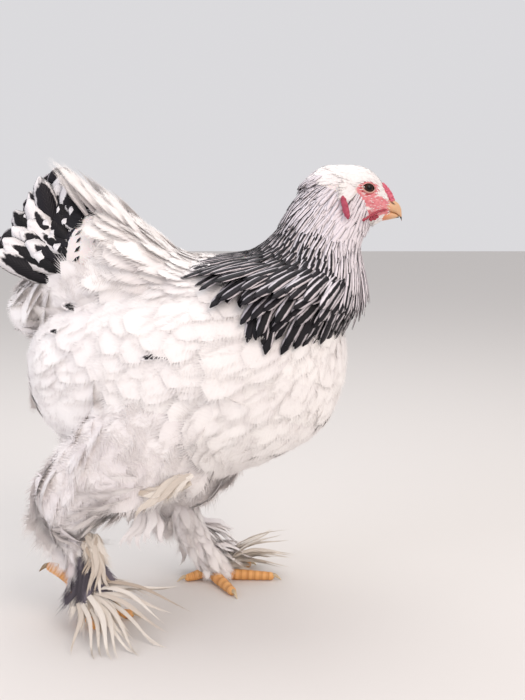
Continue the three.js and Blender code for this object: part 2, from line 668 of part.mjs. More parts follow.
// Legs. y is measured outwards from the middle and is turned to each side later.
const legs = {
  right: {
    side: -1,
    thigh: [
      across(-50, 62, 322, 90, 36, 18),
      across(-44, 72, 300, 90, 62, 34),
      across(-43, 78, 260, 90, 74, 42),
      across(-61, 80, 218, 90, 84, 44),
      across(-82, 79, 184, 90, 95, 44),
      across(-122, 75, 158, 90, 64, 41),
      across(-143, 70, 134, 90, 42, 33),
      across(-146, 67, 112, 90, 25, 23),
      across(-145, 65, 92, 90, 17, 16),
    ],
    shank: [
      [-144, 65, 104],
      [-146, 64, 76],
      [-148, 62, 54],
    ],
    shankRadii: [16, 15, 12],
    tufts: { start: 4.5, step: 1.1, count: 5, length: 42 },
    shankTufts: [
      { root: [-146, 70, 84], tip: [-168, 92, 46], out: [-0.4, 0.9, 0.2] },
      { root: [-140, 70, 82], tip: [-146, 92, 30], out: [0, 1, 0.2] },
      { root: [-136, 66, 80], tip: [-120, 88, 26], out: [0.4, 0.9, 0.2] },
      { root: [-152, 66, 80], tip: [-176, 78, 50], out: [-0.8, 0.5, 0.2] },
    ],
    pad: [-148, 62, 40],
    toes: {
      hind: { path: [[-148, 60, 44], [-163, 59, 56], [-176, 58, 62]], radii: [7, 6, 4.6] },
      inner: { path: [[-146, 56, 38], [-130, 46, 14], [-112, 37, 4.6]], radii: [7.5, 6.5, 5] },
      middle: {
        path: [[-146, 62, 38], [-124, 62, 13], [-104, 62, 5.2], [-84, 62, 4.8]],
        radii: [8, 7, 6.4, 5.2],
      },
      outer: { path: [[-146, 68, 38], [-132, 80, 13], [-119, 92, 4.6]], radii: [7.5, 6.4, 5] },
    },
    plumes: [
      { root: [-146, 66, 42], tip: [-14, 106, 53], out: [0.1, 0.6, 0.8], bow: 6, width: 19 },
      { root: [-143, 68, 38], tip: [-11, 124, 29], out: [0.2, 0.5, 0.8], bow: 7, width: 19 },
      { root: [-140, 70, 33], tip: [-36, 150, 8], out: [0.3, 0.5, 0.8], bow: 9, width: 16 },
      { root: [-139, 71, 30], tip: [-64, 168, 4], out: [0.4, 0.4, 0.8], bow: 10, width: 16 },
      { root: [-140, 72, 28], tip: [-90, 160, 4], out: [0.5, 0.4, 0.8], bow: 9, width: 15 },
      { root: [-142, 72, 30], tip: [-112, 138, 5], out: [0.5, 0.4, 0.8], bow: 8, width: 14 },
    ],
  },
  left: {
    side: 1,
    thigh: [
      across(4, 60, 322, 90, 36, 18),
      across(8, 68, 296, 90, 62, 34),
      across(6, 73, 255, 90, 74, 42),
      across(-2, 74, 210, 90, 76, 42),
      across(-12, 69, 174, 90, 72, 38),
      across(-26, 63, 142, 90, 60, 33),
      across(-36, 59, 116, 90, 50, 28),
      across(-40, 57, 94, 90, 38, 22),
    ],
    shank: [
      [-32, 57, 108],
      [-22, 56, 70],
      [-4, 55, 42],
      [8, 55, 23],
    ],
    shankRadii: [22, 24, 22, 18],
    tufts: { start: 4, step: 1.1, count: 5, length: 44 },
    shankTufts: [
      { root: [-20, 70, 66], tip: [-26, 92, 16], out: [-0.2, 0.9, 0.2] },
      { root: [-8, 70, 58], tip: [6, 94, 12], out: [0.1, 1, 0.2] },
      { root: [2, 66, 54], tip: [34, 92, 26], out: [0.1, 0.9, 0.4] },
      { root: [4, 62, 58], tip: [52, 84, 46], out: [0, 0.7, 0.7] },
    ],
    pad: [5, 55, 10],
    toes: {
      hind: { path: [[0, 53, 11], [-14, 50, 7], [-24, 48, 4.4]], radii: [7, 6, 4.8] },
      inner: { path: [[8, 50, 9], [22, 26, 6], [34, 4, 4.8]], radii: [7.6, 6.6, 5.2] },
      middle: {
        path: [[8, 55, 9.5], [34, 54, 6.4], [58, 53, 5.6], [82, 52, 4.8]],
        radii: [8.2, 7, 6.2, 5.2],
      },
      outer: { path: [[8, 60, 9], [30, 78, 6.2], [52, 94, 4.8]], radii: [7.6, 6.6, 5.2] },
    },
    plumes: [
      { root: [10, 58, 13], tip: [92, 66, 66], out: [-0.4, 0.6, 0.7], bow: -3, width: 16 },
      { root: [12, 60, 12], tip: [99, 79, 48], out: [-0.4, 0.6, 0.7], bow: -2, width: 19 },
      { root: [12, 63, 10], tip: [98, 94, 30], out: [-0.3, 0.5, 0.8], bow: 2, width: 16 },
      { root: [12, 64, 10], tip: [88, 106, 20], out: [-0.2, 0.5, 0.8], bow: 5, width: 15 },
      { root: [10, 65, 9], tip: [70, 116, 12], out: [-0.1, 0.4, 0.9], bow: 7, width: 15 },
      { root: [8, 66, 9], tip: [44, 122, 6], out: [0, 0.3, 0.9], bow: 8, width: 14 },
    ],
  },
};
const padRadius = 11;
const sided = (leg, points) => points.map(([x, y, z]) => [x, y * leg.side, z]);
const sidedPoint = (leg, [x, y, z]) => vec(x, y * leg.side, z);
const thighBody = (leg) => new Body(leg.thigh.map((r) => ({ ...r, y: r.y * leg.side })));

// Loose tufts round the hock, in rows that hang down over the shank
function hockTufts(leg) {
  const body = thighBody(leg);
  const feathers = [];
  for (let row = 0; row < 2; row++) {
    for (let k = 0; k < leg.tufts.count; k++) {
      const a = ((k + row / 2) * 360) / leg.tufts.count;
      const s = leg.tufts.start + row * leg.tufts.step;
      feathers.push(featherOn(body, { s, a, way: 1, length: leg.tufts.length, width: 34, shape: lock }));
    }
  }
  return feathers;
}

const shankShell = (leg, grow = 0) => limb(sided(leg, leg.shank), leg.shankRadii.map((r) => r + grow), 3, 8);

// Feathers down the outer side of the shank
function shankTufts(leg) {
  return leg.shankTufts.map(({ root, tip, out }) =>
    featherTo(sidedPoint(leg, root), sidedPoint(leg, tip), sidedPoint(leg, out).normalize(), 15, lock, 3),
  );
}

function footShell(leg, grow = 0) {
  const [x, y, z] = leg.pad;
  const r = padRadius + grow;
  const toes = Object.values(leg.toes).map((toe) => {
    const radii = toe.radii.map((q) => q + grow);
    return limb(sided(leg, toe.path), radii, 4, 6);
  });
  return fuse([ball(x, y * leg.side, z, r, r, r, 8, 6), ...toes]);
}

// Long feathers that fan out from the outer side of the foot
function footPlumes(leg) {
  return leg.plumes.map(({ root, tip, out, bow, width }) => {
    const face = sidedPoint(leg, out).normalize();
    return featherTo(sidedPoint(leg, root), sidedPoint(leg, tip), face, width, lock, bow);
  });
}

// A claw carries on from the tip of its toe and bends down to the floor
function clawShell(leg, toe) {
  const [before, tip] = sided(leg, toe.path).slice(-2).map((p) => vec(...p));
  const rise = tip.z < 20 ? 0 : 0.2;
  const way = tip.clone().sub(before).setZ(0).normalize();
  const radius = toe.radii.at(-1) * 0.62;
  const drop = tip.z < 20 ? tip.z - 1 : 4;
  const points = [-0.15, 0.35, 1].map((t) => {
    const p = tip.clone().addScaledVector(way, t * clawLength);
    p.z += rise * t * clawLength + 1.5 * Math.sin(Math.max(t, 0) * 2.4) - Math.max(t, 0) ** 2 * drop;
    return p.toArray();
  });
  return limb(points, [radius, radius * 0.9, radius * 0.6, 0.4], 3, 6);
}

const finishes = {
  plumage: { color: 0xf1ece6, roughness: 0.9 },
  hackle: { color: 0x2b2a30, roughness: 0.75 },
  tail: { color: 0x1a1a1e, roughness: 0.6 },
  skin: { color: 0xc9505a, roughness: 0.6 },
  horn: { color: 0xd8a468, roughness: 0.4 },
  scales: { color: 0xd98a3a, roughness: 0.55 },
  eye: { color: 0x3a1a10, roughness: 0.1 },
};
const hen = new THREE.Group();

function add(name, solid, finish) {
  const mesh = solid.getMesh();
  const g = new THREE.BufferGeometry();
  g.setAttribute("position", new THREE.Float32BufferAttribute(mesh.vertProperties, 3));
  g.setIndex(new THREE.BufferAttribute(new Uint32Array(mesh.triVerts), 1));
  const out = new THREE.Mesh(g, new THREE.MeshStandardMaterial({ ...finish, metalness: 0 }));
  out.name = name;
  hen.add(out);
}

add("torso", torsoSolid, finishes.plumage);
add("neck", neckSolid, finishes.hackle);
add("head", headSolid, finishes.plumage);
add("beak_upper", beakUpperSolid, finishes.horn);
add("beak_lower", beakLowerSolid, finishes.horn);
add("comb", combSolid, finishes.skin);
add("tail", tailSolid, finishes.tail);
for (const [name, side] of [
  ["left", 1],
  ["right", -1],
]) {
  const leg = legs[name];
  const thighShell = fuse([thighBody(leg).solid(9, 11), ...hockTufts(leg)]);
  const thigh = beside(thighShell, torsoRoom, tailRoom, wingRoom(side));
  const shank = fuse([shankShell(leg), ...shankTufts(leg)]);
  const foot = fuse([footShell(leg), ...footPlumes(leg)]);
  add(`eye_${name}`, eyeball(side), finishes.eye);
  add(`wattle_${name}`, wattle(side), finishes.skin);
  add(`earlobe_${name}`, earlobe(side), finishes.skin);
  add(`wing_${name}`, wing(side), finishes.plumage);
  add(`thigh_${name}`, thigh, finishes.plumage);
  const shankSolid = beside(shank, swollen(thigh), footShell(leg, seam), belowFloor);
  add(`shank_${name}`, shankSolid, finishes.plumage);
  const footSolid = beside(foot, swollen(shankSolid), swollen(thigh), belowFloor);
  add(`foot_${name}`, footSolid, finishes.scales);
  for (const [toeName, toe] of Object.entries(leg.toes)) {
    const claw = beside(clawShell(leg, toe), footShell(leg, seam), belowFloor);
    add(`claw_${toeName}_${name}`, claw, finishes.horn);
  }
}

// The zero is on the floor under the middle of the whole hen's box
const middle = new THREE.Box3().setFromObject(hen).getCenter(vec(0, 0, 0));
hen.position.set(-middle.x, -middle.y, 0);

export default hen;
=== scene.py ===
import bpy
import bmesh
import math
import numpy as np
from functools import partial
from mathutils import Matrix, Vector, noise
from mathutils.bvhtree import BVHTree


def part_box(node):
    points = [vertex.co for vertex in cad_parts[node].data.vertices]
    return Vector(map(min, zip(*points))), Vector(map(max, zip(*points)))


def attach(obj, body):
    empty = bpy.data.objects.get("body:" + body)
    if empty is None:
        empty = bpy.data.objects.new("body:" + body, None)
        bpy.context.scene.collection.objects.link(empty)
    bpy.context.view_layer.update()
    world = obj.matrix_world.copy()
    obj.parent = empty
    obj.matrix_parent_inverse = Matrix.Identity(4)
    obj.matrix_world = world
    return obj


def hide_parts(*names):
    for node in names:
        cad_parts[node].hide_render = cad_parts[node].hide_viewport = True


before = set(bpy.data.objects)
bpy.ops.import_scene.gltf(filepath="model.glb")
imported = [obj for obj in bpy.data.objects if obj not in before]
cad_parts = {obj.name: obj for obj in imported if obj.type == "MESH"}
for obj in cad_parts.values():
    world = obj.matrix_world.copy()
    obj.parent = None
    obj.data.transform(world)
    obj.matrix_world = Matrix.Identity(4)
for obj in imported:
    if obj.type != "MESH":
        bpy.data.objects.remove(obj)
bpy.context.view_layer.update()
print("frame loaded")

# Shapes are in millimetres from the middle of the hen's back line, beak to +X, and shift moves
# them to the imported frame: the torso's box gives it, as its middle is at x -15 and y 0
torsoLow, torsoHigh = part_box("torso")
shift = np.array([(torsoLow.x + torsoHigh.x) * 500 + 15, (torsoLow.y + torsoHigh.y) * 500, 0])


def hexColor(text):
    # an sRGB hex value as linear red, green, blue and alpha
    parts = [int(text[i:i + 2], 16) / 255 for i in (1, 3, 5)]
    return [c / 12.92 if c <= 0.04045 else ((c + 0.055) / 1.055) ** 2.4 for c in parts] + [1]


def feed(node, feeds):
    # sets a node's inputs to values and hex colours, or links them to sockets
    for key, value in feeds.items():
        if isinstance(value, bpy.types.NodeSocket):
            node.id_data.links.new(value, node.inputs[key])
        else:
            color = isinstance(value, str) and value[0] == "#"
            node.inputs[key].default_value = hexColor(value) if color else value


def addNode(tree, kind, feeds={}, out=0, **settings):
    # adds a node, whose kind also says its operation or data type, feeds it, and gives one output
    kind, *mode = kind.split()
    families = ["ShaderNode"]
    if tree.bl_idname == "GeometryNodeTree":
        families = ["GeometryNode", "FunctionNode", "ShaderNode"]
    family = next(f for f in families if hasattr(bpy.types, f + kind))
    node = tree.nodes.new(family + kind)
    if mode:
        settings["operation" if hasattr(node, "operation") else "data_type"] = mode[0]
    for name, value in settings.items():
        setattr(node, name, value)
    feed(node, feeds)
    return node.outputs[out]


def meshObject(name, points, faces):
    # a smooth mesh from points in millimetres, with its faces turned outwards
    mesh = bpy.data.meshes.new(name)
    mesh.from_pydata(((np.asarray(points, float) + shift) / 1000).tolist(), [], faces)
    work = bmesh.new()
    work.from_mesh(mesh)
    bmesh.ops.recalc_face_normals(work, faces=work.faces)
    work.to_mesh(mesh)
    work.free()
    mesh.shade_smooth()
    obj = bpy.data.objects.new(name, mesh)
    bpy.context.collection.objects.link(obj)
    return obj


def addAttribute(mesh, name, values):
    # one number or one vector for each point of a mesh
    values = np.asarray(values, float)
    vector = values.ndim == 2
    attribute = mesh.attributes.new(name, "FLOAT_VECTOR" if vector else "FLOAT", "POINT")
    attribute.data.foreach_set("vector" if vector else "value", values.ravel())


def joined(name, objs):
    # several objects made one mesh
    with bpy.context.temp_override(active_object=objs[0], selected_editable_objects=objs):
        bpy.ops.object.join()
    objs[0].name = name
    return objs[0]


def baked(obj):
    # the object with its modifiers made part of its mesh
    solved = obj.evaluated_get(bpy.context.evaluated_depsgraph_get())
    mesh = bpy.data.meshes.new_from_object(solved)
    obj.modifiers.clear()
    obj.data = mesh
    return obj


def finished(obj, material, nodes):
    # gives a piece its material and body, and hides the plain nodes that it stands for
    obj.data.materials.clear()
    obj.data.materials.append(materials[material])
    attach(obj, "root")
    if nodes:
        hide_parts(*nodes)
    print("made", obj.name, len(obj.data.polygons), "faces")


# Bodies: rows of rings, with places on them by station, angle and height

class Body:
    # a ring is x, y, z, tilt in degrees, reach up, reach down and reach to the side
    def __init__(self, rings, power=2):
        self.rings = np.array(rings, float)
        self.power = power
        self.last = len(rings) - 1

    def ring(self, s):
        s = np.clip(s, 0, self.last)
        i = np.minimum(s.astype(int), self.last - 1)
        t = (s - i)[:, None]
        a, b, c, d = (self.rings[np.clip(i + k, 0, self.last)] for k in (-1, 0, 1, 2))
        bend = (2 * a - 5 * b + 4 * c - d) * t ** 2 + (3 * b - a - 3 * c + d) * t ** 3
        ring = 0.5 * (2 * b + (c - a) * t + bend)
        ring[:, 4:] = np.maximum(ring[:, 4:], 0)
        return ring

    def at(self, s, a, h=0):
        # places at stations s, angles a in degrees from the left side, and heights h
        s, a = np.broadcast_arrays(np.atleast_1d(np.asarray(s, float)), np.asarray(a, float))
        ring = self.ring(s)
        c, d = np.cos(np.radians(a)), np.sin(np.radians(a))
        side = np.sign(c) * np.abs(c) ** (2 / self.power) * (ring[:, 6] + h)
        reach = np.where(d > 0, ring[:, 4], ring[:, 5]) + h
        up = np.sign(d) * np.abs(d) ** (2 / self.power) * reach
        x, y, z, tilt = ring[:, :4].T
        tilt = np.radians(tilt)
        return np.stack([x - np.sin(tilt) * up, y + side, z + np.cos(tilt) * up], 1)

    def grid(self, first, last, rows, around, low=0, high=360, h=0):
        s = np.repeat(np.linspace(first, last, rows), around)
        a = np.tile(np.linspace(low, high, around), rows)
        return s, a, self.at(s, a, h)

    def loft(self, name, rows=40, around=48, h=0):
        # the closed surface, with each end closed by one face
        points = self.grid(0, self.last, rows, around + 1, h=h)[2].reshape(rows, around + 1, 3)[:, :around]
        return meshObject(name, points.reshape(-1, 3), closedFaces(rows, around))


def gridFaces(rows, columns, closed=False):
    faces = []
    for i in range(rows - 1):
        for k in range(columns if closed else columns - 1):
            n = (k + 1) % columns
            faces.append((i * columns + k, i * columns + n, (i + 1) * columns + n, (i + 1) * columns + k))
    return faces


def closedFaces(rows, around):
    # the faces of rings that follow each other, with each end closed by one face
    ends = [list(range(around)), [(rows - 1) * around + k for k in range(around)]]
    return gridFaces(rows, around, True) + ends


def upright(x, top, bottom, side, widest):
    return x, 0, widest, 0, top - widest, widest - bottom, side


def across(x, y, z, tilt, depth, side):
    return x, y, z, tilt, depth, depth, side


def tube(name, path, radii, around=14, steps=6):
    # a round limb along a smooth path, closed by rings that shrink to a point at both ends
    body = Body([[*p, 0, r, r, r] for p, r in zip(path, radii)])
    rings = body.ring(np.linspace(0, body.last, steps * body.last + 1))
    centres, sizes = rings[:, :3], rings[:, 4]
    ways = np.gradient(centres, axis=0)
    ways /= np.linalg.norm(ways, axis=1)[:, None]
    caps = [(k, t) for k in (0, -1) for t in (0.35, 0.75, 0.97)]
    ends = {0: [], -1: []}
    for k, t in caps:
        reach = ways[k] * sizes[k] * math.sin(t * math.pi / 2) * (1 if k else -1)
        ends[k].append((centres[k] + reach, sizes[k] * math.cos(t * math.pi / 2), ways[k]))
    rows = ends[0][::-1] + list(zip(centres, sizes, ways)) + ends[-1]
    points = []
    for centre, size, way in rows:
        side = np.cross(way, [0, 0.2, 1] if abs(way[2]) < 0.9 else [1, 0, 0])
        side /= np.linalg.norm(side)
        up = np.cross(side, way)
        for k in range(around):
            turn = 2 * math.pi * k / around
            points.append(centre + size * (math.cos(turn) * side + math.sin(turn) * up))
    return meshObject(name, points, closedFaces(len(rows), around))


torso = Body([
    upright(-198, 286, 284, 0, 285), upright(-191, 330, 248, 44, 292), upright(-170, 362, 216, 71, 295),
    upright(-130, 388, 190, 92, 292), upright(-80, 410, 168, 106, 290), upright(-25, 420, 160, 113, 290),
    upright(30, 420, 164, 113, 292), upright(80, 413, 182, 103, 297), upright(122, 398, 204, 84, 303),
    upright(150, 374, 232, 58, 307), upright(164, 344, 268, 30, 308), upright(168, 312, 308, 0, 310),
], 2.2)
neck = Body([
    across(84, 0, 350, 56, 74, 96), across(88, 0, 366, 60, 84, 100), across(100, 0, 398, 75.6, 93, 90),
    across(127, 0, 416, 76.7, 72, 64), across(140, 0, 444, 75.2, 54.8, 46),
    across(151, 0, 468, 68.5, 50.5, 38), across(165, 0, 487, 56.1, 46, 32), across(176, 0, 502, 52, 38, 26),
], 2.1)
head = Body([
    upright(124, 507, 505, 0, 506), upright(131, 517, 486, 15, 501), upright(146, 525, 468, 24, 497),
    upright(164, 526, 457, 26, 493), upright(180, 526, 454, 22, 490), upright(193, 523, 455, 18.5, 488),
    upright(204, 515, 458, 15, 485), upright(213, 503, 463, 11.5, 481), upright(219, 491, 467, 8, 479),
    upright(220.5, 480, 478, 0, 479),
], 2.15)
tailCore = Body([
    upright(-197, 372, 344, 0, 358), upright(-190, 392, 336, 22, 366), upright(-178, 415, 331, 34, 374),
    upright(-164, 440, 330, 44, 382), upright(-146, 466, 330, 54, 390), upright(-125, 478, 330, 62, 394),
    upright(-100, 474, 330, 69, 396), upright(-72, 460, 328, 73, 392), upright(-45, 440, 328, 75, 386),
    upright(-20, 423, 328, 74, 378), upright(-4, 412, 328, 69, 374),
])
thighs = {
    "right": Body([across(x, -y, z, 90, depth, side) for x, y, z, depth, side in [
        (-50, 62, 322, 36, 18), (-44, 72, 300, 62, 34), (-43, 78, 260, 74, 42), (-61, 80, 218, 84, 44),
        (-82, 79, 184, 95, 44), (-122, 75, 158, 64, 41), (-143, 70, 134, 42, 33), (-146, 67, 112, 25, 23),
        (-145, 65, 92, 17, 16)]], 2.2),
    "left": Body([across(x, y, z, 90, depth, side) for x, y, z, depth, side in [
        (4, 60, 322, 36, 18), (8, 68, 296, 62, 34), (6, 73, 255, 74, 42), (-2, 74, 210, 76, 42),
        (-12, 69, 174, 72, 38), (-26, 63, 142, 60, 33), (-36, 59, 116, 50, 28), (-40, 57, 94, 38, 22)]], 2.2),
}
shanks = {
    "right": ([(-144, -65, 110), (-146, -64, 76), (-148, -62, 48)], [15, 13, 10]),
    "left": ([(-36, 57, 112), (-22, 56, 70), (-4, 55, 42), (8, 55, 23)], [20, 20, 18, 13]),
}
sides = {"left": 1, "right": -1}

# the tail's fan of main feathers: it turns about a place on the back, ridged like a roof
fan = {"x": -104, "z": 436, "ridge": 6.5, "angles": [54, 44, 34, 24, 14, 5, -4],
       "reach": [106, 108, 106, 108, 113, 122, 127], "roof": 20, "step": 1.4, "width": 33}

# Feathers: one small shape repeated over a surface or at chosen places

featherTrees = {"patch": 0.003, "seed": 7, "floorGap": 0.0008}


def vane(outline, rows, notch=0):
    # a closed thin vane: u across from -1 to 1, t from root to tip, h as a share of the width
    cup, thick = 0.1, 0.05
    points = []
    along = np.linspace(0, 1, rows + 1)
    for i, (t, w) in enumerate(zip(along, np.interp(along, *zip(*outline)))):
        jag = notch if i % 2 else 0
        for u, h in ((-1, -cup), (0, thick / 2), (1, -cup), (0, -thick / 2)):
            points.append((u * w, t - jag * abs(u) * 0.5, h * w))
    return template(points, closedFaces(rows + 1, 4))


def softVane(outline, rows, fringe, cup, loose, wave=0):
    # a flat soft vane of three lines of points, with loose barbs out of its edges and its end,
    # which winds from side to side by wave
    pick = np.random.default_rng(2)
    along = np.linspace(0, 1, rows + 1)
    widths = np.interp(along, *zip(*outline))
    points = [(u * w, t, -cup * abs(u) * w) for t, w in zip(along, widths) for u in (-1, 0, 1)]
    faces = gridFaces(rows + 1, 3)

    def barb(*places):
        faces.append(range(len(points), len(points) + 3))
        points.extend(places)

    for side in (-1, 1):
        for k in range(fringe):
            t = 0.25 + 0.75 * (k + pick.uniform(0, 0.8)) / fringe
            w = np.interp(t, *zip(*outline)) * side
            reach = 1 + loose * pick.uniform(0.4, 1.6)
            barb((w * 0.8, t - 0.03, -cup * 0.8), (w * 0.8, t + 0.012, -cup * 0.8),
                 (w * reach, t + loose * pick.uniform(0.3, 1), pick.uniform(-0.04, 0.1)))
    for k in range(7):
        u = (k - 3) / 3 * widths[-1]
        far = (u * 1.1, 1 + loose * pick.uniform(0.3, 1), 0)
        barb((u * 0.8 - 0.04, 0.95, 0), (u * 0.8 + 0.04, 0.95, 0), far)
    return template([(u + wave * t * math.sin(8 * t), t, h) for u, t, h in points], faces)


def plume(outline, barbs, lean, wave, width):
    # a downy feather: a thin shaft with loose barbs along both sides, each a narrow bent strip
    pick = np.random.default_rng(1)
    shaft = 0.03
    points, faces = [], []
    for k in range(barbs):
        t = 0.06 + 0.88 * (k + pick.uniform(-0.4, 0.4)) / barbs
        out = np.interp(t, *zip(*outline)) * pick.uniform(0.75, 1.15) * (1 if k % 2 else -1)
        rise = lean * pick.uniform(0.6, 1.3) * (1.15 - t)
        h = pick.uniform(-wave, wave)
        start = len(points)
        for i, (u, ahead, up) in enumerate([(0, 0, 0), (out * 0.55, rise * 0.4, h), (out, rise, h * 2.4)]):
            thin = width * (1 - i / 2) + 0.002
            points.extend([(u, t + ahead - thin / 2, up), (u, t + ahead + thin / 2, up)])
        faces.extend((start + i, start + i + 1, start + i + 3, start + i + 2) for i in (0, 2))
    start = len(points)
    points.extend([(-shaft, 0, 0), (shaft, 0, 0), (-shaft * 0.6, 0.55, 0.01), (shaft * 0.6, 0.55, 0.01),
                   (0, 1, 0)])
    faces.extend([(start, start + 1, start + 3, start + 2), (start + 2, start + 3, start + 4)])
    return template(points, faces)


def template(points, faces):
    mesh = bpy.data.meshes.new("feather")
    mesh.from_pydata([tuple(map(float, p)) for p in points], [], faces)
    mesh.shade_smooth()
    addAttribute(mesh, "leaf", points)
    return bpy.data.objects.new("feather", mesh)


def coatTree(name, spread):
    # repeats a feather at points, spread over a surface or given one by one, and bends each on its own
    tree = bpy.data.node_groups.new(name, "GeometryNodeTree")
    add = partial(addNode, tree)
    face = tree.interface
    for label, kind in [("Geometry", "Geometry"), ("Feather", "Object"), ("Material", "Material"),
                        ("Spacing", "Float"), ("Ruffle", "Float"), ("Uneven", "Float"),
                        ("Lift spread", "Float"), ("Seed", "Int")]:
        face.new_socket(label, in_out="INPUT", socket_type="NodeSocket" + kind)
    face.new_socket("Geometry", in_out="OUTPUT", socket_type="NodeSocketGeometry")
    given = tree.nodes.new("NodeGroupInput").outputs

    def named(label, kind="FLOAT_VECTOR"):
        return add("InputNamedAttribute " + kind, {"Name": label})

    def parted(label):
        return add("SeparateXYZ", {0: named(label)}).node.outputs

    def store(geometry, label, value, kind="FLOAT_VECTOR", domain="POINT"):
        feeds = {"Geometry": geometry, "Name": label, "Value": value}
        return add("StoreNamedAttribute " + kind, feeds, domain=domain)

    points = given["Geometry"]
    if spread:
        area = add("Math POWER", {0: given["Spacing"], 1: 2.0})
        dense = add("Math DIVIDE", {0: 3.0, 1: area})
        points = add("DistributePointsOnFaces", {
            "Mesh": points, "Distance Min": given["Spacing"], "Density Max": dense,
            "Density Factor": named("thick", "FLOAT"), "Seed": given["Seed"]}, distribute_method="POISSON")
        points = store(points, "out", points.node.outputs["Normal"])
    points = store(points, "root", add("InputPosition"))

    def chance(low, high, step):
        seed = add("Math ADD", {0: given["Seed"], 1: float(step)})
        index = add("InputIndex")
        feeds = {2: low, 3: high, "ID": index, "Seed": seed}
        return add("RandomValue FLOAT", feeds, 1)

    # the lie turns a little in the surface, and each feather has its own size and lift
    turn = add("Math MULTIPLY", {0: chance(-1.0, 1.0, 1), 1: given["Ruffle"]})
    lie = add("VectorRotate", {"Vector": named("lie"), "Axis": named("out"), "Angle": turn})
    points = store(points, "lie", lie)
    grow = add("Math MULTIPLY_ADD", {0: chance(-1.0, 1.0, 2), 1: given["Uneven"], 2: 1.0})
    size = add("VectorMath SCALE", {0: named("size"), "Scale": grow})
    points = store(points, "size", size)
    raised = add("Math MULTIPLY", {0: chance(-1.0, 1.0, 3), 1: given["Lift spread"]})
    lifted = add("CombineXYZ", {"X": chance(-0.08, 0.08, 4), "Y": raised, "Z": 0.0})
    bow = add("VectorMath ADD", {0: named("bow"), 1: lifted})
    points = store(points, "bow", bow)
    points = store(points, "chance", chance(0.0, 1.0, 5), "FLOAT")

    shape = add("ObjectInfo", {"Object": given["Feather"]}, 4)
    made = add("InstanceOnPoints", {"Points": points, "Instance": shape})
    made = add("RealizeInstances", {"Geometry": made})

    # place = root + lie * reach * t + side * (width * u + reach * sweep * t2)
    #         + out * (reach * (lift * t - curl * t2) + width * h)
    leaf, size, bow = parted("leaf"), parted("size"), parted("bow")
    side = add("VectorMath CROSS_PRODUCT", {0: named("lie"), 1: named("out")})
    half = add("Math MULTIPLY", {0: size["X"], 1: 0.5})
    reach = add("Math MULTIPLY", {0: size["Y"], 1: leaf["Y"]})
    curve = add("Math MULTIPLY", {0: reach, 1: leaf["Y"]})
    swept = add("Math MULTIPLY", {0: curve, 1: bow["X"]})
    aside = add("Math MULTIPLY_ADD", {0: half, 1: leaf["X"], 2: swept})
    risen = add("Math MULTIPLY", {0: reach, 1: bow["Y"]})
    curled = add("Math MULTIPLY", {0: curve, 1: bow["Z"]})
    above = add("Math SUBTRACT", {0: risen, 1: curled})
    above = add("Math MULTIPLY_ADD", {0: half, 1: leaf["Z"], 2: above})
    place = named("root")
    for way, length in ((named("lie"), reach), (side, aside), (named("out"), above)):
        moved = add("VectorMath SCALE", {0: way, "Scale": length})
        place = add("VectorMath ADD", {0: place, 1: moved})
    made = add("SetPosition", {"Geometry": made, "Position": place})

    # each feather is one small patch of the bake map, at its root's place on the unwrapped surface
    patch = add("VectorMath MULTIPLY", {0: named("leaf"), 1: (0.5, 1, 0)})
    patch = add("VectorMath SCALE", {0: patch, "Scale": featherTrees["patch"]})
    patch = add("VectorMath ADD", {0: patch, 1: named("unwrap")})
    made = store(made, "OFBake", patch, "FLOAT2", "CORNER")
    for label in ("root", "lie", "size", "bow", "unwrap", "thick"):
        made = add("RemoveAttribute", {"Geometry": made, "Name": label})
    made = add("SetMaterial", {"Geometry": made, "Material": given["Material"]})
    tree.nodes.new("NodeGroupOutput")
    tree.links.new(made, tree.nodes[-1].inputs[0])
    return tree


trees = {spread: coatTree("feathers over a surface" if spread else "feathers at places", spread)
         for spread in (True, False)}


def feathered(name, guide, feather, material, choices):
    # runs the feather tree on a guide mesh, and makes the result a plain mesh
    tree = trees[len(guide.data.polygons) > 0]
    modifier = guide.modifiers.new("feathers", "NODES")
    modifier.node_group = tree
    values = {"Feather": shapes[feather], "Material": materials[material], "Spacing": 0.01, "Ruffle": 0.1,
              "Uneven": 0.15, "Lift spread": 0.03, "Seed": featherTrees["seed"], **choices}
    for item in tree.interface.items_tree:
        if item.in_out == "INPUT" and item.name in values:
            modifier[item.identifier] = values[item.name]
    made = baked(guide)
    made.name = name
    # long feathers lie on the floor, not in it
    places = np.empty(len(made.data.vertices) * 3)
    made.data.vertices.foreach_get("co", places)
    places[2::3] = np.maximum(places[2::3], featherTrees["floorGap"])
    made.data.vertices.foreach_set("co", places)
    finished(made, material, ())


def guideMesh(points, faces, traits):
    # a mesh or loose points with what each feather there is like, in millimetres
    mesh = bpy.data.meshes.new("guide")
    mesh.from_pydata(((np.asarray(points, float) + shift) / 1000).tolist(), [], faces)
    for label, values in traits.items():
        addAttribute(mesh, label, values)
    obj = bpy.data.objects.new("guide", mesh)
    bpy.context.collection.objects.link(obj)
    return obj


def unit(v):
    return v / np.maximum(np.linalg.norm(v, axis=-1, keepdims=True), 1e-9)


def castTree(bodies):
    # the outer surfaces of some bodies, to cast rays at
    points, faces = [], []
    for body in bodies:
        start = len(points)
        points += [tuple(p) for p in body.grid(0, body.last, 60, 73)[2]]
        faces += [tuple(start + k for k in face) for face in gridFaces(60, 73)]
    return BVHTree.FromPolygons(points, faces)


formTree = castTree([torso, tailCore, *thighs.values()])
headTree = castTree([head, neck])


def seenFrom(tree, x, z, side):
    # the outermost place of a form seen from its left or right side, and the way that it faces
    place, normal = tree.ray_cast(Vector((x, 300 * side, z)), Vector((0, -side, 0)))[:2]
    return np.array(place), np.array(normal) * (1 if normal.y * side > 0 else -1)


